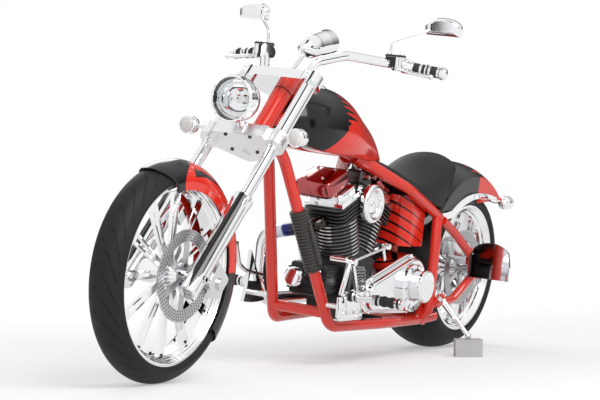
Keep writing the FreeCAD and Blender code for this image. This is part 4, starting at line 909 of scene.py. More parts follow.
@dataclass(frozen=True)
class ToothedBelt(Finish):
    """Rubber belt with crosswise teeth."""

    pitch: float = 0.014
    edge: tuple[float, float] = (0.4, 0.6)
    tooth_depth: float = 0.002

    def paint(self, sheet: Sheet) -> dict[str, Any]:
        """Teeth by place along the belt.

        Args:
            sheet: Node tree of the material.

        Returns:
            Sockets whose value changes over the piece.
        """
        x, _, _ = sheet.axes()
        tooth = sheet.smooth((x / self.pitch).peak(), *self.edge)
        return {"Normal": sheet.bump(tooth, self.relief, self.tooth_depth)}


@dataclass(frozen=True)
class SeatLeather(Finish):
    """Matt leather with a fine grain and a sewn seam along each side."""

    relief: float = 0.55
    cell_scale: float = 520.0
    cell_height: float = 0.25
    cell_edge: float = 0.10
    crease_scale: float = 14.0
    crease_detail: float = 4.0
    crease_height: float = 0.5
    crease_roughness: float = 0.14
    seam_y: float = 0.052
    seam_spread: float = 0.058
    seam_span: tuple[float, float] = (0.66, 0.30)
    seam_edge: tuple[float, float] = (0.0045, 0.0012)
    lowest: float = 0.66
    stitch_off: float = 0.006
    stitch_edge: tuple[float, float] = (0.0011, 0.0006)
    stitch_pitch: float = 0.0065
    stitch_gap: float = 0.35
    stitch_height: float = 0.4
    paling: float = 1.5
    crease_depth: float = 0.0011

    def paint(self, sheet: Sheet) -> dict[str, Any]:
        """Grain cells, soft creases and a seam with its stitches.

        Args:
            sheet: Node tree of the material.

        Returns:
            Sockets whose value changes over the piece.
        """
        inputs = {"Vector": sheet.upright(), "Scale": self.cell_scale}
        cells = sheet.value("ShaderNodeTexVoronoi", {"feature": "DISTANCE_TO_EDGE"}, inputs)
        x, y, z = sheet.axes()
        crease = sheet.noise(self.crease_scale, self.crease_detail)
        line = abs(abs(y) - (self.seam_y + sheet.smooth(x, *self.seam_span) * self.seam_spread))
        top = z > self.lowest
        seam = sheet.smooth(line, *self.seam_edge) * top
        dashes = (x / self.stitch_pitch).peak() > self.stitch_gap
        stitch = sheet.smooth(abs(line - self.stitch_off), *self.stitch_edge) * dashes * top
        grain = sheet.smooth(cells, 0.0, self.cell_edge) * self.cell_height
        height = grain + crease * self.crease_height - seam + stitch * self.stitch_height
        return {
            "Base Color": sheet.mix(crease, self.colour, tuple(c * self.paling for c in self.colour)),
            "Roughness": crease * self.crease_roughness + self.roughness - self.crease_roughness / 2,
            "Normal": sheet.bump(height, self.relief, self.crease_depth),
        }


@dataclass(frozen=True)
class RibbedLens(Finish):
    """Lamp glass with a fine grid of ribs."""

    relief: float = 0.4
    pitch: float = 0.006
    rib_depth: float = 0.0008
    shading: float = 0.72

    def paint(self, sheet: Sheet) -> dict[str, Any]:
        """Ribs across and up the lens.

        Args:
            sheet: Node tree of the material.

        Returns:
            Sockets whose value changes over the piece.
        """
        _, y, z = sheet.axes()
        ribs = (y / self.pitch).peak() * 0.5 + (z / self.pitch).peak() * 0.5
        return {
            "Normal": sheet.bump(ribs, self.relief, self.rib_depth),
            "Base Color": sheet.mix(ribs, self.colour, tuple(c * self.shading for c in self.colour)),
        }


@dataclass(frozen=True)
class CastBlock(Finish):
    """Grey cast block with small pores."""

    pore_scale: float = 160.0
    pore_edge: tuple[float, float] = (0.16, 0.08)
    pore_depth: float = 0.0012
    cloud_scale: float = 26.0
    cloud_detail: float = 5.0
    cloud_height: float = 0.3
    shading: float = 0.6

    def paint(self, sheet: Sheet) -> dict[str, Any]:
        """Pores and blotches.

        Args:
            sheet: Node tree of the material.

        Returns:
            Sockets whose value changes over the piece.
        """
        inputs = {"Vector": sheet.upright(), "Scale": self.pore_scale}
        pores = sheet.value("ShaderNodeTexVoronoi", {"feature": "F1"}, inputs)
        cloud = sheet.noise(self.cloud_scale, self.cloud_detail)
        hole = sheet.smooth(pores, *self.pore_edge) * (cloud > 0.5)
        shade = hole * 0.5 + cloud * 0.5
        return {
            "Base Color": sheet.mix(shade, self.colour, tuple(c * self.shading for c in self.colour)),
            "Normal": sheet.bump(1.0 - hole + cloud * self.cloud_height, self.relief, self.pore_depth),
        }


RED_COLOUR: Colour = (0.72, 0.026, 0.012)


class Look(Enum):
    """All finishes of the machine."""

    RED = Finish("red_paint", RED_COLOUR, 0.0, 0.2, 0.35, wear=0.03, mottle=0.10)
    TANK = TankPaint("tank_paint", RED_COLOUR, 0.0, 0.16, 0.22)
    FRONT_GUARD = FrontGuardPaint("front_guard_paint", RED_COLOUR, 0.0, 0.16, 0.22)
    REAR_GUARD = RearGuardPaint("rear_guard_paint", RED_COLOUR, 0.0, 0.16, 0.22)
    OIL_TANK = OilTankPaint("oil_tank_paint", RED_COLOUR, 0.0, 0.16, 0.22)
    BLACK = Finish("black_paint", (0.004, 0.004, 0.005), 0.0, 0.18, 0.2, mottle=0.2)
    CHROME = Finish("chrome", (0.86, 0.87, 0.88), 1.0, 0.06, wear=0.03)
    # Rocker-cover chrome with a painted reflection: its maroon base colour stands in for the red tank and
    # frame reflected in it.
    COVER = Finish("chrome_with_painted_red_reflection", (0.46, 0.10, 0.10), 1.0, 0.12, 0.3, wear=0.04, mottle=0.2)
    ALLOY = Finish("polished_alloy", (0.72, 0.73, 0.74), 1.0, 0.2, wear=0.10, mottle=0.08)
    SATIN = Finish("satin_alloy", (0.84, 0.84, 0.85), 1.0, 0.3, wear=0.06, grain=0.1)
    STEEL = Finish("steel", (0.38, 0.38, 0.39), 1.0, 0.34, wear=0.12, mottle=0.15)
    DARK_STEEL = Finish("dark_steel", (0.10, 0.10, 0.105), 1.0, 0.35, wear=0.1, mottle=0.2)
    FRONT_RUBBER = Tread("front_tyre_rubber", (0.010, 0.010, 0.011), 0.0, 0.6, shine=0.3)
    REAR_RUBBER = Tread("rear_tyre_rubber", (0.010, 0.010, 0.011), 0.0, 0.6, shine=0.3, hub=REAR_HUB,
                        radius=0.330, half=0.125, count=26.0, sweep=7.0, groove=0.12)
    SOFT = Finish("black_rubber", (0.02, 0.02, 0.02), 0.0, 0.55, wear=0.1, grain=0.2, mottle=0.3)
    BELT = ToothedBelt("belt_rubber", (0.016, 0.016, 0.016), 0.0, 0.6)
    LEATHER = SeatLeather("seat_leather", (0.013, 0.013, 0.014), 0.0, 0.55, shine=0.3)
    CASTING = Finish("black_casting", (0.012, 0.012, 0.013), 0.3, 0.42, wear=0.12, grain_scale=300.0,
                     grain=0.35, mottle=0.3)
    REGULATOR = RibbedCasting("regulator_casting", (0.05, 0.047, 0.044), 0.3, 0.5)
    FRONT_FINS = Fins("front_fins", (0.045, 0.045, 0.047), 0.25, 0.42)
    REAR_FINS = Fins("rear_fins", (0.045, 0.045, 0.047), 0.25, 0.42, tilt=-CYLINDER_TILT)
    FRONT_DISC = DrilledDisc("front_disc_steel", (0.50, 0.50, 0.51), 1.0, 0.26)
    REAR_DISC = DrilledDisc("rear_disc_steel", (0.50, 0.50, 0.51), 1.0, 0.26, hub=REAR_HUB)
    FRONT_WHEEL = BilletWheel("front_wheel_chrome", (0.90, 0.90, 0.91), 1.0, 0.1)
    REAR_WHEEL = BilletWheel("rear_wheel_chrome", (0.90, 0.90, 0.91), 1.0, 0.08, hub=REAR_HUB, lip=0.245)
    PIPES = HeatedPipe("exhaust_chrome", (0.86, 0.86, 0.87), 1.0, 0.08)
    GRIPS = BandedGrip("grip_chrome", (0.86, 0.86, 0.87), 1.0, 0.1)
    PEGS = PeggedControls("foot_control_alloy", (0.78, 0.78, 0.79), 1.0, 0.16)
    HAND = HandControls("hand_control_chrome", (0.84, 0.85, 0.86), 1.0, 0.08)
    BLOCK = CastBlock("block_grey", (0.52, 0.52, 0.52), 0.0, 0.75)
    HEADLIGHT_GLASS = Glass("headlight_glass", (1.0, 1.0, 1.0), 0.0, 0.02, wear=0.01)
    CLEAR_LENS = RibbedLens("signal_lens", (0.82, 0.81, 0.78), 0.0, 0.12, 0.6)
    RED_LENS = RibbedLens("red_lens", (0.55, 0.01, 0.008), 0.0, 0.12, 0.8)
    DIAL = Finish("dial_face", (0.012, 0.012, 0.013), 0.0, 0.45, mottle=0.2)
    MARK = Finish("dial_mark", (0.85, 0.85, 0.83), 0.0, 0.5, mottle=0.05)


NODE_LOOKS: dict[Look, str] = {
    Look.RED: "backbone cradle_left cradle_right swingarm",
    Look.TANK: "fuel_tank",
    Look.FRONT_GUARD: "front_fender",
    Look.REAR_GUARD: "rear_fender",
    Look.OIL_TANK: "oil_tank",
    Look.CHROME: "fuel_cap fender_struts rear_lamps rocker_boxes horn_cover intake primary_cover"
                 " upper_tree fork_leg_left fork_leg_right headlight handlebar mirrors gauge"
                 " front_signals plate_bracket side_stand",
    Look.PIPES: "exhausts",
    Look.SATIN: "lower_tree",
    Look.ALLOY: "front_caliper rear_caliper rear_pulley front_axle rear_axle",
    Look.PEGS: "left_foot_controls right_foot_controls",
    Look.HAND: "clutch_control brake_control",
    Look.GRIPS: "grips",
    Look.FRONT_FINS: "front_cylinder",
    Look.REAR_FINS: "rear_cylinder",
    Look.FRONT_DISC: "front_disc",
    Look.REAR_DISC: "rear_disc",
    Look.FRONT_WHEEL: "front_wheel",
    Look.REAR_WHEEL: "rear_wheel",
    Look.REGULATOR: "regulator",
    Look.FRONT_RUBBER: "front_tyre",
    Look.REAR_RUBBER: "rear_tyre",
    Look.BELT: "drive_belt",
    Look.LEATHER: "seat",
    Look.CASTING: "crankcase transmission",
    Look.BLOCK: "stand_block",
    Look.HEADLIGHT_GLASS: "headlight_lens",
}


def new_object(name: str, work: bmesh.types.BMesh) -> bpy.types.Object:
    """Object made from a mesh under way, which is freed.

    Args:
        name: Name of the object and its mesh.
        work: The mesh under way.

    Returns:
        The object, linked to the scene.
    """
    mesh = bpy.data.meshes.new(name)
    work.to_mesh(mesh)
    work.free()
    made = bpy.data.objects.new(name, mesh)
    bpy.context.scene.collection.objects.link(made)
    return made


class Shape:
    """One mesh under way, in metres of the upright machine."""

    coil_sides: int = 8
    coil_steps: int = 14
    washer_foot: float = -0.3
    washer_top: float = 0.22
    washer_radius: float = 1.15
    head_top: float = 0.85
    head_bevel: float = 0.12
    bar_bevel: float = 0.3
    screw: Profile = (
        (0.0, 0.45), (0.42, 0.45), (0.46, 0.78), (0.62, 0.74), (0.88, 0.48), (1.0, 0.12), (1.0, -0.2),
        (0.0, -0.2),
    )

    def __init__(self, machine: Machine) -> None:
        """Starts an empty mesh."""
        self.machine = machine
        self.work = bmesh.new()

    @staticmethod
    def stand(centre: Vector, axis: Vector) -> Matrix:
        """Matrix that puts a shape drawn about Z at a place, along an axis."""
        turn = axis.normalized().to_track_quat("Z", "Y").to_matrix().to_4x4()
        return Matrix.Translation(centre) @ turn

    def _place(self, verts: Iterable[bmesh.types.BMVert], matrix: Matrix) -> list[bmesh.types.BMVert]:
        """Moves some vertices and gives them back.

        Args:
            verts: The vertices.
            matrix: The transform that moves them.

        Returns:
            The same vertices.
        """
        verts = list(verts)
        bmesh.ops.transform(self.work, matrix=matrix, verts=verts)
        return verts

    def rod(self, start: Vector, end: Vector, radius: float, tip: float | None = None, sides: int = 20,
            bevel: float = 0.0) -> list[bmesh.types.BMVert]:
        """Adds a round or many-sided bar between two points.

        Args:
            start: First end's centre.
            end: Other end's centre.
            radius: Radius at the start.
            tip: Radius at the end, if it differs.
            sides: Count of its sides.
            bevel: Size of the bevel on its end edges.

        Returns:
            Its vertices.
        """
        length = (end - start).length
        made = bmesh.ops.create_cone(self.work, cap_ends=True, segments=sides, radius1=radius,
                                     radius2=radius if tip is None else tip, depth=length)["verts"]
        if bevel:
            edges = {edge for vert in made for edge in vert.link_edges}
            level = [edge for edge in edges if len({round(vert.co.z, 6) for vert in edge.verts}) == 1]
            made = self._bevelled(made, level, bevel, 2)
        return self._place(made, self.stand((start + end) / 2, end - start))

    def _bevelled(self, verts: list[bmesh.types.BMVert], edges: list[bmesh.types.BMEdge], offset: float,
                  segments: int) -> list[bmesh.types.BMVert]:
        """Rounds some edges.

        Args:
            verts: Vertices of the shape.
            edges: Its edges that are rounded.
            offset: Size of the bevel.
            segments: Count of its steps.

        Returns:
            The shape's vertices after it.
        """
        made = bmesh.ops.bevel(self.work, geom=edges, offset=offset, offset_type="OFFSET", segments=segments,
                               profile=0.5, affect="EDGES", material=-1, clamp_overlap=True)["verts"]
        return list({vert for vert in [*verts, *made] if vert.is_valid})

    def turned(self, profile: Profile, centre: Vector, axis: Vector,
               sides: int = 32) -> list[bmesh.types.BMVert]:
        """Adds a turned form.

        Args:
            profile: Radius and height of each corner, from one end to the other.
            centre: Where height 0 lies.
            axis: Direction of height.
            sides: Count of steps round the axis.

        Returns:
            Its vertices.
        """
        verts = [self.work.verts.new((radius, 0.0, height)) for radius, height in profile]
        edges = [self.work.edges.new(pair) for pair in zip(verts, verts[1:])]
        bmesh.ops.spin(self.work, geom=verts + edges, cent=(0, 0, 0), axis=(0, 0, 1), dvec=(0, 0, 0),
                       angle=math.tau, steps=sides, use_merge=True, use_duplicate=False)
        made = self._linked(verts[0])
        bmesh.ops.remove_doubles(self.work, verts=made, dist=MERGE)
        made = [vert for vert in made if vert.is_valid]
        return self._place(made, self.stand(centre, axis))

    def _linked(self, seed: bmesh.types.BMVert) -> list[bmesh.types.BMVert]:
        """All vertices joined to one by edges.

        Args:
            seed: One of the vertices.

        Returns:
            The vertices.
        """
        found, queue = {seed}, [seed]
        while queue:
            for edge in queue.pop().link_edges:
                for vert in edge.verts:
                    if vert not in found:
                        found.add(vert)
                        queue.append(vert)
        return list(found)

    def slab(self, centre: Vector, size: Vector, turn: Matrix, bevel: float) -> list[bmesh.types.BMVert]:
        """Adds a box with rounded edges.

        Args:
            centre: Its middle.
            size: Its full sizes.
            turn: Rotation applied before it is placed.
            bevel: Radius of its edges.

        Returns:
            Its vertices.
        """
        made = bmesh.ops.create_cube(self.work, size=1.0, matrix=Matrix.Diagonal((*size, 1.0)))["verts"]
        edges = list({edge for vert in made for edge in vert.link_edges})
        made = self._bevelled(made, edges, bevel, 3)
        return self._place(made, Matrix.Translation(centre) @ turn)

    def bar(self, start: Vector, end: Vector, width: float, thick: float) -> None:
        """Adds a flat bar between two points, thin along the machine's Y.

        Args:
            start: Middle of one end.
            end: Middle of the other end.
            width: Width across its length.
            thick: Thickness along Y.
        """
        way = end - start
        across = way.cross(SIDEWAYS).normalized()
        turn = Matrix((across, SIDEWAYS, across.cross(SIDEWAYS))).transposed().to_4x4()
        self.slab((start + end) / 2, Vector((width, thick, way.length)), turn, thick * self.bar_bevel)

    def coil(self, start: Vector, end: Vector, radius: float, wire: float,
             turns: int) -> list[bmesh.types.BMVert]:
        """Adds a coil spring between two points.

        Args:
            start: Middle of one end.
            end: Middle of the other end.
            radius: Radius of its middle line.
            wire: Radius of its wire.
            turns: Count of its turns.

        Returns:
            Its vertices.
        """
        length = (end - start).length
        ring = bmesh.ops.create_circle(self.work, cap_ends=True, radius=wire,
                                       segments=self.coil_sides)["verts"]
        aside = Matrix.Translation((radius, 0, 0)) @ Matrix.Rotation(math.pi / 2, 4, "X")
        bmesh.ops.transform(self.work, matrix=aside, verts=ring)
        edges = {edge for vert in ring for edge in vert.link_edges}
        faces = {face for vert in ring for face in vert.link_faces}
        geom = [*ring, *edges, *faces]
        steps = turns * self.coil_steps
        bmesh.ops.spin(self.work, geom=geom, cent=(0, 0, 0), axis=(0, 0, 1), dvec=(0, 0, length / steps),
                       angle=math.tau * turns, steps=steps, use_merge=False, use_duplicate=False)
        made = self._linked(ring[0])
        return self._place(made, self.stand(start, end - start))

    def bolt(self, at: Vector, axis: Vector, radius: float) -> None:
        """Adds a hexagon bolt head on its washer, standing on a point along an axis.

        Args:
            at: Point that it stands on.
            axis: Direction that it faces.
            radius: Radius of its head.
        """
        up = axis.normalized() * radius
        seat = at + up * self.washer_top
        self.rod(at + up * self.washer_foot, seat, radius * self.washer_radius, sides=16)
        self.rod(seat, at + up * self.head_top, radius, sides=6, bevel=radius * self.head_bevel)

    def button(self, at: Vector, axis: Vector, radius: float) -> None:
        """Adds a domed screw head with a sunk middle.

        Args:
            at: Point that it stands on.
            axis: Direction that it faces.
            radius: Radius of its head.
        """
        profile = [(out * radius, up * radius) for out, up in self.screw]
        self.turned(profile, at, axis, 14)

    def finish(self, name: str, body: Body, look: Look, slot: str) -> bpy.types.Object:
        """Makes the object, places it and lets it ride.

        Args:
            name: The piece's name.
            body: Body that it moves with.
            look: Its finish.
            slot: Material slot of the record; not used.

        Returns:
            The object.
        """
        bmesh.ops.recalc_face_normals(self.work, faces=self.work.faces)
        bmesh.ops.transform(self.work, matrix=self.machine.place, verts=self.work.verts)
        piece = new_object(name, self.work)
        for polygon in piece.data.polygons:
            polygon.use_smooth = True
        piece.data.set_sharp_from_angle(angle=SHARP)
        piece.data.materials.append(Wardrobe.material(look, self.machine))
        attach(piece, body.value)
        LOG.info("piece %s: %d faces", name, len(piece.data.polygons))
        return piece


class Wardrobe:
    """Keeps one material for each finish."""

    _made: dict[Look, bpy.types.Material] = {}

    @classmethod
    def material(cls, look: Look, machine: Machine) -> bpy.types.Material:
        """The finish's material, made once.

        Args:
            look: The finish.
            machine: The parked machine.

        Returns:
            The material.
        """
        if look not in cls._made:
            cls._made[look] = look.value.make(machine)
        return cls._made[look]

    @classmethod
    def dress(cls, machine: Machine) -> None:
        """Gives each CAD node its finish.

        Args:
            machine: The parked machine.
        """
        for look, names in NODE_LOOKS.items():
            for name in names.split():
                node = machine.node(name)
                node.data.materials.clear()
                node.data.materials.append(cls.material(look, machine))


def both_sides(place: Vector) -> tuple[Vector, Vector]:
    """A point and its mirror image on the machine's other side."""
    return place, Vector((place.x, -place.y, place.z))


def on_circle(turn: float, radius: float) -> Vector:
    """Step from a sideways axis out to a circle round it, at an angle from straight ahead upwards."""
    return Vector((math.cos(turn), 0.0, math.sin(turn))) * radius


def even_degrees(count: int) -> list[float]:
    """Evenly spaced angles that start at the top."""
    return [90.0 + index * 360.0 / count for index in range(count)]


@dataclass
class ForkTrim:
    """Black inlays on the sliders and the yokes' bolts."""

    inlay_radii: tuple[float, float] = (0.0312, 0.0358)
    inlay_ends: tuple[float, float] = (-0.062, 0.332)
    inlay_middle: float = math.radians(26.0)
    inlay_half: float = math.radians(21.0)
    inlay_steps: int = 10
    point_length: float = 0.075
    shoulder: float = 0.12
    end_length: float = 0.012
    swell: float = 0.35
    swell_reach: float = 0.06
    yoke_bolts: Pairs = ((0.037, 0.047), (-0.035, 0.049))
    yoke_bolt_radius: float = 0.0058
    lower_face: float = 0.560
    pinch_ahead: float = 0.0385
    pinch_heights: tuple[float, float] = (0.852, 0.868)
    pinch_radius: float = 0.0062
    cap_height: float = 0.886
    cap: Profile = ((0.0, 0.007), (0.008, 0.007), (0.0235, 0.0045), (0.0245, 0.0), (0.0, 0.0))

    def inlay(self, machine: Machine, side: int) -> None:
        """Black strip let into the front of one slider, wider near its foot and pointed at the end.

        Args:
            machine: The parked machine.
            side: 1 on the left, -1 on the right.
        """
        shape = Shape(machine)
        inner, outer = self.inlay_radii
        low, high = self.inlay_ends
        point = self.point_length
        heights = [low, low + point / 3, low + point, low + self.shoulder, high - self.end_length, high]
        corners = [(inner, s) for s in heights] + [(outer, s) for s in reversed(heights)]
        verts = [shape.work.verts.new((radius, 0.0, s)) for radius, s in corners]
        face = shape.work.faces.new(verts)
        bmesh.ops.spin(shape.work, geom=[*verts, *face.edges, face], cent=(0, 0, 0), axis=(0, 0, 1),
                       dvec=(0, 0, 0), angle=2 * self.inlay_half, steps=self.inlay_steps, use_merge=False,
                       use_duplicate=False)
        for vert in shape.work.verts:
            radius = math.hypot(vert.co.x, vert.co.y)
            turn = math.atan2(vert.co.y, vert.co.x) - self.inlay_half
            share = min(1.0, (vert.co.z - low) / point)
            near = max(0.0, 1.0 - abs(vert.co.z - low - point) / self.swell_reach)
            turn = self.inlay_middle + turn * share * (1.0 + self.swell * near)
            out = side * (LEG_SPACING + radius * math.sin(turn))
            vert.co = fork(radius * math.cos(turn), out, vert.co.z)
        bmesh.ops.remove_doubles(shape.work, verts=shape.work.verts, dist=MERGE)
        name = "fork_inlay_left" if side > 0 else "fork_inlay_right"
        shape.finish(name, Body.FRONT_END, Look.BLACK, "black_casting")

    def bolts(self, machine: Machine) -> None:
        """Bolts under the lower yoke, and pinch bolts and caps on the upper yoke.

        Args:
            machine: The parked machine.
        """
        ahead = fork(1.0, 0.0, 0.0) - fork(0.0, 0.0, 0.0)
        along = fork(0.0, 0.0, 1.0) - fork(0.0, 0.0, 0.0)
        dark = Shape(machine)
        for n, y in self.yoke_bolts:
            for side in SIDES:
                dark.bolt(fork(n, side * y, self.lower_face), -along, self.yoke_bolt_radius)
        dark.finish("lower_yoke_bolts", Body.FRONT_END, Look.DARK_STEEL, "steel")
        bright = Shape(machine)
        for side in SIDES:
            for height in self.pinch_heights:
                bright.button(fork(self.pinch_ahead, side * LEG_SPACING, height), ahead, self.pinch_radius)
            bright.turned(self.cap, fork(0.0, side * LEG_SPACING, self.cap_height), along, 28)
        bright.finish("upper_yoke_caps", Body.FRONT_END, Look.CHROME, "chrome")

    def build(self, machine: Machine) -> None:
        """Builds the fork's trim.

        Args:
            machine: The parked machine.
        """
        for side in SIDES:
            self.inlay(machine, side)
        self.bolts(machine)


@dataclass
class Lamps:
    """Lenses of the signals and the tail lamp, and the headlamp's bulb."""

    front_place: Vector = fork(0.020, 0.211, 0.595)
    front_radius: float = 0.031
    front_length: float = 0.066
    rear_place: Vector = Vector((-0.142, 0.200, 0.595))
    rear_radius: float = 0.027
    rear_length: float = 0.062
    dome: Profile = ((0.0, 0.5), (0.3, 0.495), (0.6, 0.46), (0.78, 0.41), (0.86, 0.36))
    dome_foot: Profile = ((0.86, 0.33), (0.0, 0.33))
    proud: float = 0.0012
    tail_angle: float = math.radians(127.0)
    tail_reach: float = 0.396
    tail_lens: Profile = (
        (0.0, 0.0412), (0.012, 0.0410), (0.026, 0.0375), (0.0368, 0.0262), (0.0368, 0.0235), (0.0, 0.0235),
    )
    lamp_centre: Vector = Vector((1.5995, 0.0, 0.9101))
    bulb: Profile = (
        (0.0, 0.004), (0.009, 0.001), (0.013, -0.008), (0.013, -0.014), (0.0085, -0.020), (0.0085, -0.024),
        (0.0, -0.024),
    )
    bulb_collar: Profile = ((0.0, -0.020), (0.020, -0.021), (0.022, -0.026), (0.0, -0.030))

    def _dome(self, shape: Shape, centre: Vector, axis: Vector, radius: float, length: float) -> None:
        """Adds a lens just over the lamp's own dome.

        Args:
            shape: Mesh that it goes into.
            centre: The lamp's middle.
            axis: Direction that it faces.
            radius: The lamp's radius.
            length: The lamp's length.
        """
        profile = [(radius * out, length * up + self.proud) for out, up in self.dome]
        profile += [(radius * out, length * up) for out, up in self.dome_foot]
        shape.turned(profile, centre, axis, 36)

    def build(self, machine: Machine) -> None:
        """Builds the lenses and the bulb.

        Args:
            machine: The parked machine.
        """
        front = Shape(machine)
        for place in both_sides(self.front_place):
            self._dome(front, place, AHEAD, self.front_radius, self.front_length)
        front.finish("front_signal_lenses", Body.FRONT_END, Look.CLEAR_LENS, "signal_lens")
        rear = Shape(machine)
        for place in both_sides(self.rear_place):
            self._dome(rear, place, BACKWARDS, self.rear_radius, self.rear_length)
        rear.finish("rear_signal_lenses", Body.CHASSIS, Look.RED_LENS, "signal_lens")
        out = on_circle(self.tail_angle, 1.0)
        tail = Shape(machine)
        tail.turned(self.tail_lens, REAR_HUB + out * self.tail_reach, out, 40)
        tail.finish("tail_lamp_lens", Body.CHASSIS, Look.RED_LENS, "signal_lens")
        bulb = Shape(machine)
        bulb.turned(self.bulb, self.lamp_centre, AHEAD, 24)
        bulb.turned(self.bulb_collar, self.lamp_centre, AHEAD, 24)
        bulb.finish("headlight_bulb", Body.FRONT_END, Look.CHROME, "chrome")


@dataclass
class BarTrim:
    """Rings and caps of the grips, the levers' pivots and the instrument's dial."""

    bar_end: Vector = Vector((0.9725, 0.417, 1.0644))
    grip_length: float = 0.112
    cap: Profile = (
        (0.0, 0.020), (0.008, 0.019), (0.015, 0.014), (0.0195, 0.006), (0.0205, -0.002), (0.0, -0.002),
    )
    cap_squash: float = 0.6
    cap_seat: float = 0.0075
    ring: Profile = ((0.0185, -0.004), (0.0212, -0.0025), (0.0212, 0.0025), (0.0185, 0.004))
    ring_shares: tuple[float, ...] = (0.02, 0.5, 0.98)
    dial_nose: Vector = Vector((1.2225, 0.0, 1.0974))
    dial_tilt: float = math.radians(11.0)
    dial_depth: float = 0.1755
    dial_face: Profile = ((0.0, 0.0006), (0.0385, 0.0006), (0.0392, 0.0), (0.0, 0.0))
    mark_count: int = 13
    first_mark: float = -135.0
    mark_step: float = 22.5
    mark_lengths: tuple[float, float] = (0.0045, 0.007)
    mark_width: float = 0.0012
    mark_thick: float = 0.0006
    mark_place: Vector = Vector((0.0, 0.0325, 0.0009))
    mark_edge: float = 0.0002
    needle: Vector = Vector((0.0014, 0.034, 0.0008))
    needle_turn: float = math.radians(118.0)
    needle_place: Vector = Vector((0.0, 0.012, 0.0016))
    needle_hub: tuple[float, float] = (0.004, 0.0028)
    clamp: Vector = Vector((0.9979, 0.290, 1.0759))
    clamp_screws: Pairs = ((0.0245, 0.016), (0.0245, -0.016))
    clamp_screw_radius: float = 0.0042
    pivot: Vector = Vector((0.040, -0.010, 0.001))
    pivot_radius: float = 0.0065
    lid_screws: Pairs = ((0.020, -0.050), (0.020, -0.002), (0.046, -0.050), (0.046, -0.002))
    lid_height: float = 0.0362
    lid_screw_radius: float = 0.0032

    def grip_rings(self, machine: Machine) -> None:
        """Bright rounded cap and three rings on both grips.

        Args:
            machine: The parked machine.
        """
        shape = Shape(machine)
        for side in SIDES:
            way = Vector((GRIP_WAY.x, side * GRIP_WAY.y, GRIP_WAY.z))
            end = Vector((self.bar_end.x, side * self.bar_end.y, self.bar_end.z))
            cap = [(r, h * self.cap_squash) for r, h in self.cap]
            shape.turned(cap, end + way * self.cap_seat, way, 28)
            for share in self.ring_shares:
                shape.turned(self.ring, end - way * (self.grip_length * share), way, 28)
        shape.finish("grip_rings", Body.FRONT_END, Look.CHROME, "chrome")

    def dial(self, machine: Machine) -> None:
        """Dark dial with plain marks and a needle in the instrument's recess.

        Args:
            machine: The parked machine.
        """
        axis = Vector((-math.cos(self.dial_tilt), 0.0, math.sin(self.dial_tilt)))
        centre = self.dial_nose + axis * self.dial_depth
        face = Shape(machine)
        face.turned(self.dial_face, centre, axis, 40)
        face.finish("gauge_dial", Body.FRONT_END, Look.DIAL, "black_casting")
        marks = Shape(machine)
        frame = Shape.stand(centre, axis)
        outward = Matrix.Translation(self.mark_place)
        for index in range(self.mark_count):
            turn = Matrix.Rotation(math.radians(self.first_mark + index * self.mark_step), 4, "Z")
            size = Vector((self.mark_width, self.mark_lengths[index % 3 == 0], self.mark_thick))
            marks.slab(ORIGIN, size, frame @ turn @ outward, self.mark_edge)
        turn = Matrix.Rotation(self.needle_turn, 4, "Z")
        marks.slab(ORIGIN, self.needle, frame @ turn @ Matrix.Translation(self.needle_place), self.mark_edge)
        radius, height = self.needle_hub
        marks.rod(centre, centre + axis * height, radius, sides=20, bevel=0.0006)
        marks.finish("gauge_marks", Body.FRONT_END, Look.MARK, "chrome")

    def screws(self, machine: Machine) -> None:
        """Clamp screws of the hand controls, pivot screws of the levers and screws of the cups' lids.

        Args:
            machine: The parked machine.
        """
        shape = Shape(machine)
        for place in both_sides(self.clamp):
            for ahead, up in self.clamp_screws:
                shape.button(place + Vector((ahead, 0.0, up)), AHEAD, self.clamp_screw_radius)
            side = 1 if place.y > 0 else -1
            pivot = Vector((self.pivot.x, side * self.pivot.y, self.pivot.z))
            shape.button(place + pivot, UPWARDS, self.pivot_radius)
            for x, y in self.lid_screws:
                shape.button(place + Vector((x, side * y, self.lid_height)), UPWARDS, self.lid_screw_radius)
        shape.finish("hand_control_screws", Body.FRONT_END, Look.STEEL, "steel")

    def build(self, machine: Machine) -> None:
        """Builds the handlebar's trim.

        Args:
            machine: The parked machine.
        """
        self.grip_rings(machine)
        self.dial(machine)
        self.screws(machine)


@dataclass(frozen=True)
class ScrewRing:
    """Ring of domed screws on a case: its middle, radius, angles in degrees and screw size."""

    middle: Vector
    radius: float
    degrees: Sequence[float]
    size: float


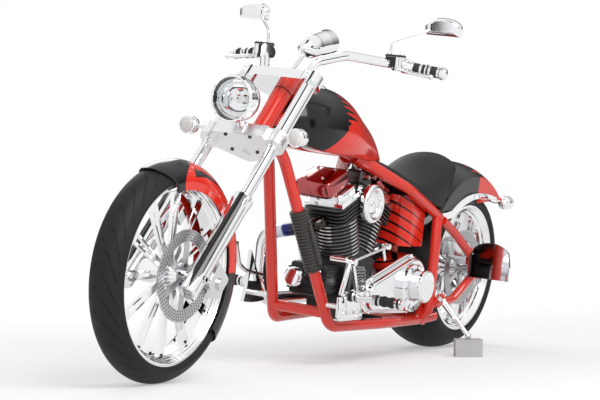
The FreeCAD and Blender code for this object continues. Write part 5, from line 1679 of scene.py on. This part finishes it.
@dataclass
class CaseTrim:
    """Screws of the primary case, the cam cover and the air cleaner, and the horn's nut."""

    primary_rings: tuple[ScrewRing, ...] = (
        ScrewRing(Vector((0.528, 0.150, 0.288)), 0.1055, (92, 135, 178, 221, 264), 0.0062),
        ScrewRing(Vector((0.800, 0.150, 0.255)), 0.0615, (-76, -25, 25, 76), 0.0062),
        ScrewRing(Vector((0.528, 0.2325, 0.288)), 0.044, even_degrees(5), 0.0042),
    )
    right_rings: tuple[ScrewRing, ...] = (
        ScrewRing(CRANK + Vector((0.034, -0.114, 0.018)), 0.060, (-70, -15, 40, 95), 0.0055),
        ScrewRing(CRANK + Vector((-0.040, -0.114, 0.010)), 0.047, (150, 200, 250), 0.0055),
        ScrewRing(CRANK + Vector((0.0, -0.150, 0.272)), 0.028, even_degrees(3), 0.0055),
    )
    horn: Vector = CRANK + Vector((0.005, 0.096, 0.298))
    horn_ring: Profile = ((0.030, 0.0), (0.034, 0.0030), (0.038, 0.0030), (0.041, 0.0))
    horn_nut: float = 0.0075

    def _screws(self, machine: Machine, rings: Sequence[ScrewRing], axis: Vector) -> Shape:
        """Shape with the screws of some rings, all facing one way.

        Args:
            machine: The parked machine.
            rings: The rings of screws.
            axis: Direction that it faces.

        Returns:
            The shape.
        """
        shape = Shape(machine)
        for ring in rings:
            for degrees in ring.degrees:
                shape.button(ring.middle + on_circle(math.radians(degrees), ring.radius), axis, ring.size)
        return shape

    def build(self, machine: Machine) -> None:
        """Builds the screws of both sides and the horn's nut and ring.

        Args:
            machine: The parked machine.
        """
        left = self._screws(machine, self.primary_rings, SIDEWAYS)
        left.finish("primary_screws", Body.CHASSIS, Look.CHROME, "chrome")
        right = self._screws(machine, self.right_rings, -SIDEWAYS)
        right.finish("right_case_screws", Body.CHASSIS, Look.STEEL, "steel")
        horn = Shape(machine)
        horn.turned(self.horn_ring, self.horn, SIDEWAYS, 40)
        horn.bolt(self.horn, SIDEWAYS, self.horn_nut)
        horn.finish("horn_nut", Body.CHASSIS, Look.CHROME, "chrome")


@dataclass(frozen=True)
class TopCover:
    """Tall cover of one rocker box: its side of the engine, sizes and how far it is set ahead and right."""

    side: int
    height: float
    length: float
    width: float
    ahead: float
    right: float


@dataclass
class TopTrim:
    """Tall rounded covers on the rocker boxes and the coil pack under the tank."""

    rocker_top: float = 0.3711
    covers: tuple[TopCover, ...] = (
        TopCover(1, 0.068, 0.150, 0.150, 0.034, 0.014),
        TopCover(-1, 0.030, 0.100, 0.124, 0.0, 0.0),
    )
    sunk: float = 0.004
    cover_edge: float = 0.024
    bolt_base: float = 0.150
    bolt_places: Pairs = ((-0.044, 0.030), (0.044, 0.030), (0.044, -0.040), (-0.044, -0.040))
    bolt_radius: float = 0.0055
    coil_ahead: float = 0.745
    terminal_place: tuple[float, float] = (0.046, 0.666)
    terminal_bolt_place: tuple[float, float] = (0.030, 0.692)
    coil: Vector = Vector((0.745, 0.018, 0.664))
    coil_size: Vector = Vector((0.086, 0.064, 0.052))
    coil_turn: float = -0.12
    coil_edge: float = 0.009
    bracket: tuple[Vector, Vector] = (Vector((0.765, 0.0, 0.600)), Vector((0.755, 0.010, 0.645)))
    bracket_radius: float = 0.017
    terminal_steps: tuple[float, float] = (-0.024, 0.024)
    terminal_way: Vector = Vector((0.0, 0.026, 0.004))
    terminal_radii: tuple[float, float] = (0.0105, 0.0075)
    terminal_bolt: float = 0.0065

    def top_covers(self, machine: Machine) -> None:
        """Rounded covers with four bolts each, the front one reaching up to the tank.

        Args:
            machine: The parked machine.
        """
        covers, bolts = Shape(machine), Shape(machine)
        for cover in self.covers:
            tilt = cover.side * CYLINDER_TILT
            turn = Matrix.Rotation(tilt, 4, "Y")
            axis = Vector((math.sin(tilt), 0.0, math.cos(CYLINDER_TILT)))
            offset = turn.to_3x3() @ Vector((cover.ahead, -cover.right, 0.0))
            middle = CRANK + axis * (self.rocker_top + cover.height / 2) + offset
            size = Vector((cover.length, cover.width, cover.height + self.sunk))
            covers.slab(middle, size, turn, self.cover_edge)
            for across, out in self.bolt_places:
                up = cover.height / 2 + self.sunk / 2
                corner = Vector((across * cover.length / self.bolt_base, out, up))
                bolts.bolt(turn.to_3x3() @ corner + middle, axis, self.bolt_radius)
        # The covers' maroon colour is a painted red reflection in their chrome.
        covers.finish("rocker_top_covers", Body.CHASSIS, Look.COVER, "chrome")
        bolts.finish("rocker_top_bolts", Body.CHASSIS, Look.CHROME, "chrome")

    def coils(self, machine: Machine) -> None:
        """Dark coil pack with its two bright terminals under the rear of the tank.

        Args:
            machine: The parked machine.
        """
        pack = Shape(machine)
        pack.slab(self.coil, self.coil_size, Matrix.Rotation(self.coil_turn, 4, "Y"), self.coil_edge)
        pack.rod(*self.bracket, self.bracket_radius)
        pack.finish("coil_pack", Body.CHASSIS, Look.DARK_STEEL, "steel")
        ends = Shape(machine)
        for step in self.terminal_steps:
            start = Vector((self.coil_ahead + step, *self.terminal_place))
            ends.rod(start, start + self.terminal_way, *self.terminal_radii)
            bolt = Vector((self.coil_ahead + step, *self.terminal_bolt_place))
            ends.bolt(bolt, UPWARDS, self.terminal_bolt)
        ends.finish("coil_terminals", Body.CHASSIS, Look.CHROME, "chrome")

    def build(self, machine: Machine) -> None:
        """Builds the covers and the coil pack."""
        self.top_covers(machine)
        self.coils(machine)


@dataclass
class FrontCasting:
    """Ribbed casting on the crankcase's front with its bright filter."""

    middle: Vector = Vector((0.930, -0.018, 0.298))
    size: Vector = Vector((0.110, 0.146, 0.116))
    edge: float = 0.012
    rib_ahead: float = 0.936
    rib_heights: tuple[float, ...] = (0.262, 0.286, 0.310, 0.334)
    rib_size: Vector = Vector((0.112, 0.152, 0.006))
    rib_edge: float = 0.002
    filter_cap: Profile = ((0.034, 0.0), (0.034, 0.044), (0.028, 0.052), (0.0, 0.054))
    filter_place: Vector = Vector((0.984, -0.052, 0.302))
    screws: tuple[Vector, ...] = (Vector((0.990, 0.034, 0.330)), Vector((0.990, 0.034, 0.268)))
    screw_radius: float = 0.007

    def build(self, machine: Machine) -> None:
        """Builds the casting and the filter.

        Args:
            machine: The parked machine.
        """
        block = Shape(machine)
        block.slab(self.middle, self.size, Matrix.Identity(4), self.edge)
        for height in self.rib_heights:
            rib = Vector((self.rib_ahead, self.middle.y, height))
            block.slab(rib, self.rib_size, Matrix.Identity(4), self.rib_edge)
        block.finish("crankcase_front", Body.CHASSIS, Look.CASTING, "black_casting")
        bright = Shape(machine)
        bright.turned(self.filter_cap, self.filter_place, AHEAD, 32)
        for screw in self.screws:
            bright.button(screw, AHEAD, self.screw_radius)
        bright.finish("oil_filter", Body.CHASSIS, Look.CHROME, "chrome")


@dataclass
class ShiftSide:
    """Left foot control's forked bracket, shift lever with toe peg, linkage rod and return springs."""

    out: float = 0.2005
    top: Vector = Vector((1.067, 0.2005, 0.390))
    toe: Vector = Vector((1.217, 0.2005, 0.408))
    tail: Vector = Vector((0.813, 0.2005, 0.438))
    arms: tuple[tuple[Vector, Place], ...] = (
        (Vector((0.018, 0.0, -0.004)), (1.122, 0.2005, 0.275)),
        (Vector((-0.004, 0.0, -0.006)), (0.978, 0.2005, 0.216)),
    )
    arm: tuple[float, float] = (0.015, 0.017)
    sill: Pairs = ((1.118, 0.200), (0.965, 0.200))
    foot: tuple[float, float] = (0.028, 0.0175)
    web: tuple[float, float] = (0.058, 0.0170)
    web_steps: tuple[float, ...] = (0.0, 0.052, 0.104)
    web_slope: float = 0.16
    web_head: tuple[float, float] = (1.004, 0.288)
    web_foot: tuple[float, float] = (1.000, 0.198)
    boss: tuple[Vector, Vector] = (Vector((1.066, 0.190, 0.262)), Vector((1.066, 0.214, 0.262)))
    boss_radius: float = 0.034
    lever: tuple[float, float] = (0.013, 0.008)
    peg_length: float = 0.060
    peg_radius: float = 0.0095
    pivot_ends: tuple[float, float] = (-0.006, 0.016)
    pivot_radius: float = 0.013
    shaft: Vector = Vector((0.790, 0.160, 0.392))
    link_radius: float = 0.0045
    eye_half: float = 0.008
    eye_radius: float = 0.0105
    shaft_arm: tuple[float, float] = (0.012, 0.008)
    bolts: tuple[Vector, ...] = (
        Vector((1.020, 0.210, 0.222)), Vector((1.006, 0.210, 0.198)), Vector((1.102, 0.210, 0.212)),
    )
    bolt_radius: float = 0.0052
    spring_feet: Pairs = ((1.010, 1.028), (0.972, 0.990))
    spring_heights: tuple[float, float] = (0.290, 0.364)
    spring_radius: float = 0.0115
    spring_wire: float = 0.0024
    spring_turns: int = 7
    spring_pins: tuple[Pairs, ...] = (((0.960, 0.286), (1.020, 0.286)), ((0.980, 0.368), (1.050, 0.372)))
    pin_radius: float = 0.0050

    def _at(self, ahead: float, up: float) -> Vector:
        """Point in the bracket's own plane."""
        return Vector((ahead, self.out, up))

    def _bracket(self, shape: Shape) -> None:
        """Adds the two arms, the foot, the webs between them and the boss.

        Args:
            shape: Mesh that they go into.
        """
        for off, foot in self.arms:
            shape.bar(self.top + off, Vector(foot), *self.arm)
        shape.bar(*(self._at(*end) for end in self.sill), *self.foot)
        for step in self.web_steps:
            head = self._at(self.web_head[0] + step, self.web_head[1] - step * self.web_slope)
            shape.bar(head, self._at(self.web_foot[0] + step, self.web_foot[1]), *self.web)
        shape.rod(*self.boss, self.boss_radius, sides=32)

    def _linkage(self, shape: Shape) -> None:
        """Adds the lever, its toe peg and pivot, the linkage rod with its eye, and the shaft's arm.

        Args:
            shape: Mesh that they go into.
        """
        eye = SIDEWAYS * self.eye_half
        shape.bar(self.top, self.toe, *self.lever)
        shape.rod(self.toe, self.toe + SIDEWAYS * self.peg_length, self.peg_radius)
        shape.rod(*(self.top + SIDEWAYS * end for end in self.pivot_ends), self.pivot_radius)
        shape.rod(self.top, self.tail, self.link_radius)
        shape.rod(self.tail - eye, self.tail + eye, self.eye_radius)
        shape.bar(self.tail, self.shaft, *self.shaft_arm)

    def build(self, machine: Machine) -> None:
        """Builds the bracket with its linkage, and the springs.

        Args:
            machine: The parked machine.
        """
        bright = Shape(machine)
        self._bracket(bright)
        self._linkage(bright)
        for bolt in self.bolts:
            bright.bolt(bolt, SIDEWAYS, self.bolt_radius)
        bright.finish("shift_bracket", Body.CHASSIS, Look.CHROME, "chrome")
        springs = Shape(machine)
        low, high = self.spring_heights
        for foot, head in self.spring_feet:
            ends = self._at(foot, low), self._at(head, high)
            springs.coil(*ends, self.spring_radius, self.spring_wire, self.spring_turns)
        for pin in self.spring_pins:
            springs.rod(*(self._at(*end) for end in pin), self.pin_radius)
        springs.finish("shift_springs", Body.CHASSIS, Look.STEEL, "steel")


@dataclass(frozen=True)
class BoltRing:
    """Ring of bolts that face away from a wheel's middle: radius, Y, count, bolt size and first angle."""

    radius: float
    y: float
    count: int
    size: float
    start: float = 0.0


@dataclass
class WheelTrim:
    """Bolts of both brake discs and of the front rim."""

    front_rings: tuple[BoltRing, ...] = (
        BoltRing(0.031, 0.0766, 5, 0.0052, 0.3),
        BoltRing(0.2585, 0.0208, 12, 0.0046),
        BoltRing(0.2585, -0.0208, 12, 0.0046),
    )
    rear_rings: tuple[BoltRing, ...] = (BoltRing(0.032, 0.1106, 5, 0.0055, 0.3),)

    def _bolts(self, machine: Machine, hub: Vector, rings: Sequence[BoltRing]) -> Shape:
        """Shape with the bolts of one wheel.

        Args:
            machine: The parked machine.
            hub: The wheel's middle.
            rings: Its rings of bolts.

        Returns:
            The shape.
        """
        shape = Shape(machine)
        for ring in rings:
            axis = SIDEWAYS if ring.y > 0 else -SIDEWAYS
            for index in range(ring.count):
                off = on_circle(ring.start + index * math.tau / ring.count, ring.radius)
                shape.bolt(hub + off + SIDEWAYS * ring.y, axis, ring.size)
        return shape

    def build(self, machine: Machine) -> None:
        """Builds both wheels' trim.

        Args:
            machine: The parked machine.
        """
        front = self._bolts(machine, FRONT_HUB, self.front_rings)
        front.finish("front_wheel_bolts", Body.FRONT_WHEEL, Look.DARK_STEEL, "steel")
        rear = self._bolts(machine, REAR_HUB, self.rear_rings)
        rear.finish("rear_wheel_bolts", Body.REAR_WHEEL, Look.STEEL, "steel")


@dataclass
class StandTrim:
    """Coil spring over the side stand's rod."""

    pivot: Vector = Vector((0.382, 0.220, 0.242))
    foot: Vector = Vector((0.390, 0.352, 0.118))
    axis: Vector = Vector((0.0, 0.713, 0.701))
    offset: float = 0.017
    start: float = 0.036
    length: float = 0.060
    radius: float = 0.0072
    wire: float = 0.0014
    turns: int = 13

    def build(self, machine: Machine) -> None:
        """Builds the spring.

        Args:
            machine: The parked machine.
        """
        way = (self.foot - self.pivot).normalized()
        beside = way.cross(self.axis).normalized() * self.offset
        begin = self.pivot + way * self.start + beside
        shape = Shape(machine)
        shape.coil(begin, begin + way * self.length, self.radius, self.wire, self.turns)
        shape.finish("stand_spring", Body.STAND, Look.STEEL, "steel")


@dataclass
class SeatPad:
    """Padded seat, swollen by a cloth simulation inside the seat's own space."""

    voxel: float = 0.006
    smoothing: float = 0.5
    smoothings: int = 6
    quality: int = 4
    shrink: float = 0.004
    pressure: float = 4.0
    frames: int = 16
    cap: float = 0.007
    under_cap: float = 0.001
    under: float = -0.35
    doubles: float = 1e-5

    def _evaluated(self, pad: bpy.types.Object) -> bpy.types.Mesh:
        """Mesh with the pad's modifiers applied."""
        depsgraph = bpy.context.evaluated_depsgraph_get()
        return bpy.data.meshes.new_from_object(pad.evaluated_get(depsgraph))

    def _swap(self, pad: bpy.types.Object, mesh: bpy.types.Mesh) -> None:
        """Gives the pad a finished mesh and takes its modifiers away."""
        pad.modifiers.clear()
        pad.data = mesh

    def _start(self, machine: Machine) -> bpy.types.Object:
        """Remeshed copy of the seat's solid, drawn in a little along its normals.

        Args:
            machine: The parked machine.

        Returns:
            The pad.
        """
        work = bmesh.new()
        work.from_mesh(machine.node("seat").data)
        bmesh.ops.remove_doubles(work, verts=work.verts, dist=self.doubles)
        work.normal_update()
        pad = new_object("seat_pad", work)
        remesh = pad.modifiers.new("remesh", "REMESH")
        remesh.mode = "VOXEL"
        remesh.voxel_size = self.voxel
        smooth = pad.modifiers.new("smooth", "SMOOTH")
        smooth.factor = self.smoothing
        smooth.iterations = self.smoothings
        self._swap(pad, self._evaluated(pad))
        for vert, normal in [(v, v.normal.copy()) for v in pad.data.vertices]:
            vert.co -= normal * self.shrink
        return pad

    def _swell(self, pad: bpy.types.Object) -> None:
        """Runs the cloth, then keeps each point near its start and the underside where it was.

        Args:
            pad: The pad, already drawn in.
        """
        before = [(vert.co.copy(), vert.normal.copy()) for vert in pad.data.vertices]
        cloth = pad.modifiers.new("cloth", "CLOTH")
        settings = cloth.settings
        settings.use_pressure = True
        settings.uniform_pressure_force = self.pressure
        settings.effector_weights.gravity = 0.0
        settings.quality = self.quality
        cloth.point_cache.frame_end = self.frames
        scene = bpy.context.scene
        for frame in range(1, self.frames + 1):
            scene.frame_set(frame)
        self._swap(pad, self._evaluated(pad))
        scene.frame_set(1)
        for vert, (start, normal) in zip(pad.data.vertices, before):
            free = self.cap if normal.z > self.under else self.under_cap
            moved = vert.co - start
            if moved.length > free:
                moved *= free / moved.length
            vert.co = start + moved

    def build(self, machine: Machine) -> None:
        """Builds the padded seat in place of its plain solid.

        Args:
            machine: The parked machine.
        """
        pad = self._start(machine)
        self._swell(pad)
        subdivide = pad.modifiers.new("subdivide", "SUBSURF")
        subdivide.levels = 1
        subdivide.render_levels = 1
        self._swap(pad, self._evaluated(pad))
        for polygon in pad.data.polygons:
            polygon.use_smooth = True
        pad.data.materials.clear()
        pad.data.materials.append(Wardrobe.material(Look.LEATHER, machine))
        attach(pad, Body.CHASSIS.value)
        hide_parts("seat")
        LOG.info("piece seat_pad: %d faces", len(pad.data.polygons))


@dataclass
class Studio:
    """Pale floor, white surround that metal finds darker on one side, soft lamps and the camera."""

    floor_reach: float = 30.0
    floor_grey: float = 0.92
    floor_fade: tuple[float, float] = (1.2, 4.5)
    floor_glow: tuple[float, float] = (0.38, 0.62)
    world_levels: tuple[float, float] = (0.55, 1.0)
    bright_side: tuple[float, float, float] = (0.55, 0.28, 0.79)
    bright_edge: float = 0.35
    darkest: float = 0.10
    aim: Vector = Vector((0.0, 0.0, 0.5))
    lamp_side: float = 3.0
    lamps: tuple[tuple[str, Place, float], ...] = (
        ("key", (2.5, 3.5, 4.0), 190.0),
        ("fill", (-3.0, -3.5, 3.5), 90.0),
    )
    flags: tuple[tuple[str, Place, tuple[float, float]], ...] = (
        ("left_flag", (1.0, 7.0, 1.4), (1.6, 2.2)),
        ("right_flag", (6.5, -1.5, 1.4), (1.4, 2.2)),
        ("top_flag", (1.5, 1.0, 5.5), (1.2, 3.0)),
    )
    camera_from_hub: Vector = Vector((7.1394, 3.5432, 0.2335))
    yaw: float = math.radians(210.27)
    pitch: float = math.radians(0.12)
    lens: float = 120.9
    sensor: float = 36.0
    sight: float = 100.0

    def floor(self, machine: Machine) -> None:
        """Lays the floor, which goes over into plain white away from the machine.

        Args:
            machine: The parked machine.
        """
        work = bmesh.new()
        bmesh.ops.create_grid(work, x_segments=1, y_segments=1, size=self.floor_reach)
        plane = new_object("floor", work)
        plane.data.materials.append(self._floor_material(machine))

    def _seen(self, tree: Tree, path: Any) -> Value:
        """One for rays from the camera and rays that metal or glass sends on, else zero."""
        seen = Value(tree, path["Is Camera Ray"]).apply("MAXIMUM", path["Is Glossy Ray"])
        return seen.apply("MAXIMUM", path["Is Transmission Ray"])

    def _floor_material(self, machine: Machine) -> bpy.types.Material:
        """Pale floor that the camera and metal see brighter, and white from a few metres on.

        Args:
            machine: The parked machine.

        Returns:
            The material.
        """
        sheet = Sheet("floor_white", machine)
        given = sheet.node("ShaderNodeTexCoord", {}, {}).outputs["Object"]
        away = sheet.node("ShaderNodeVectorMath", {"operation": "LENGTH"}, {0: given}).outputs["Value"]
        far = sheet.smooth(Value(sheet, away), *self.floor_fade)
        seen = self._seen(sheet, sheet.node("ShaderNodeLightPath", {}, {}).outputs)
        grey = (self.floor_grey, self.floor_grey, self.floor_grey, 1.0)
        plain = sheet.node("ShaderNodeBsdfDiffuse", {}, {"Color": grey})
        white = sheet.node("ShaderNodeEmission", {}, {"Color": WHITE, "Strength": 1.0})
        share = (far * self.floor_glow[1] + self.floor_glow[0]) * seen
        inputs = {0: share, 1: plain.outputs[0], 2: white.outputs[0]}
        return sheet.close(sheet.node("ShaderNodeMixShader", {}, inputs))

    def surround(self) -> None:
        """White world, at full strength to the camera and glass, dimmer to surfaces, and by side to metal."""
        world = bpy.data.worlds.new("studio")
        bpy.context.scene.world = world
        world.use_nodes = True
        tree = Tree(world.node_tree)
        back = world.node_tree.nodes["Background"]
        back.inputs["Color"].default_value = WHITE
        path = tree.node("ShaderNodeLightPath", {}, {}).outputs
        low, high = self.world_levels
        inputs = {"Value": self._seen(tree, path), "To Min": low, "To Max": high}
        level = tree.value("ShaderNodeMapRange", {}, inputs) * self._reflected(tree, path["Is Glossy Ray"])
        world.node_tree.links.new(level.socket, back.inputs["Strength"])

    def _reflected(self, tree: Tree, glossy: bpy.types.NodeSocket) -> Value:
        """One for every ray but reflected ones, which find the studio darker behind the machine and low down.

        Args:
            tree: The world's nodes.
            glossy: Socket that is one for a reflected ray.

        Returns:
            The share of the full strength.
        """
        place = tree.node("ShaderNodeTexCoord", {}, {}).outputs["Generated"]
        inputs = {0: place, 1: self.bright_side}
        facing = tree.node("ShaderNodeVectorMath", {"operation": "DOT_PRODUCT"}, inputs).outputs["Value"]
        span = {"Value": facing, "From Min": -self.bright_edge, "From Max": self.bright_edge,
                "To Min": self.darkest, "To Max": 1.0}
        share = tree.value("ShaderNodeMapRange", {"interpolation_type": "SMOOTHSTEP"}, span)
        return tree.value("ShaderNodeMix", {}, {0: glossy, 2: 1.0, 3: share})

    def lamp(self, name: str, place: Place, watts: float) -> None:
        """Adds a soft square lamp.

        Args:
            name: Lamp's name.
            place: Where it hangs.
            watts: Power.
        """
        data = bpy.data.lights.new(name, "AREA")
        data.size = self.lamp_side
        data.energy = watts
        lamp = bpy.data.objects.new(name, data)
        lamp.location = place
        lamp.rotation_euler = (self.aim - Vector(place)).to_track_quat("-Z", "Y").to_euler()
        bpy.context.scene.collection.objects.link(lamp)

    def flag(self, name: str, place: Vector, size: tuple[float, float], machine: Machine) -> None:
        """Adds a black board that only bright metal and gloss see.

        Args:
            name: Board's name.
            place: Its middle.
            size: Its width and height.
            machine: The machine, for the finish.
        """
        work = bmesh.new()
        bmesh.ops.create_grid(work, x_segments=1, y_segments=1, size=0.5)
        turn = (self.aim - place).to_track_quat("Z", "Y").to_matrix().to_4x4()
        matrix = Matrix.Translation(place) @ turn @ Matrix.Diagonal((*size, 1.0, 1.0))
        bmesh.ops.transform(work, matrix=matrix, verts=work.verts)
        board = new_object(name, work)
        board.data.materials.append(Wardrobe.material(Look.DIAL, machine))
        board.visible_camera = False
        board.visible_diffuse = False
        board.visible_shadow = False

    def camera(self, machine: Machine) -> None:
        """Sets the camera where the photograph was taken.

        Args:
            machine: The parked machine.
        """
        data = bpy.data.cameras.new("camera")
        data.lens = self.lens
        data.sensor_width = self.sensor
        data.clip_end = self.sight
        camera = bpy.data.objects.new("camera", data)
        camera.location = machine.hub + self.camera_from_hub
        camera.rotation_euler = Euler((math.pi / 2 + self.pitch, 0.0, self.yaw - math.pi / 2))
        bpy.context.scene.collection.objects.link(camera)
        bpy.context.scene.camera = camera

    def build(self, machine: Machine) -> None:
        """Builds the whole studio round the machine.

        Args:
            machine: The parked machine.
        """
        self.floor(machine)
        self.surround()
        for name, place, watts in self.lamps:
            self.lamp(name, place, watts)
        for name, place, size in self.flags:
            self.flag(name, Vector(place), size, machine)
        self.camera(machine)
        bpy.context.scene.view_settings.view_transform = "Standard"


def main() -> None:
    """Builds everything on the frame."""
    logging.basicConfig(level=logging.INFO)
    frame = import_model()
    machine = Machine(frame)
    Wardrobe.dress(machine)
    engine = (CaseTrim(), TopTrim(), FrontCasting(), ShiftSide())
    for part in (ForkTrim(), Lamps(), BarTrim(), *engine, WheelTrim(), StandTrim(), SeatPad(), Studio()):
        part.build(machine)


if __name__ == "__main__":
    main()
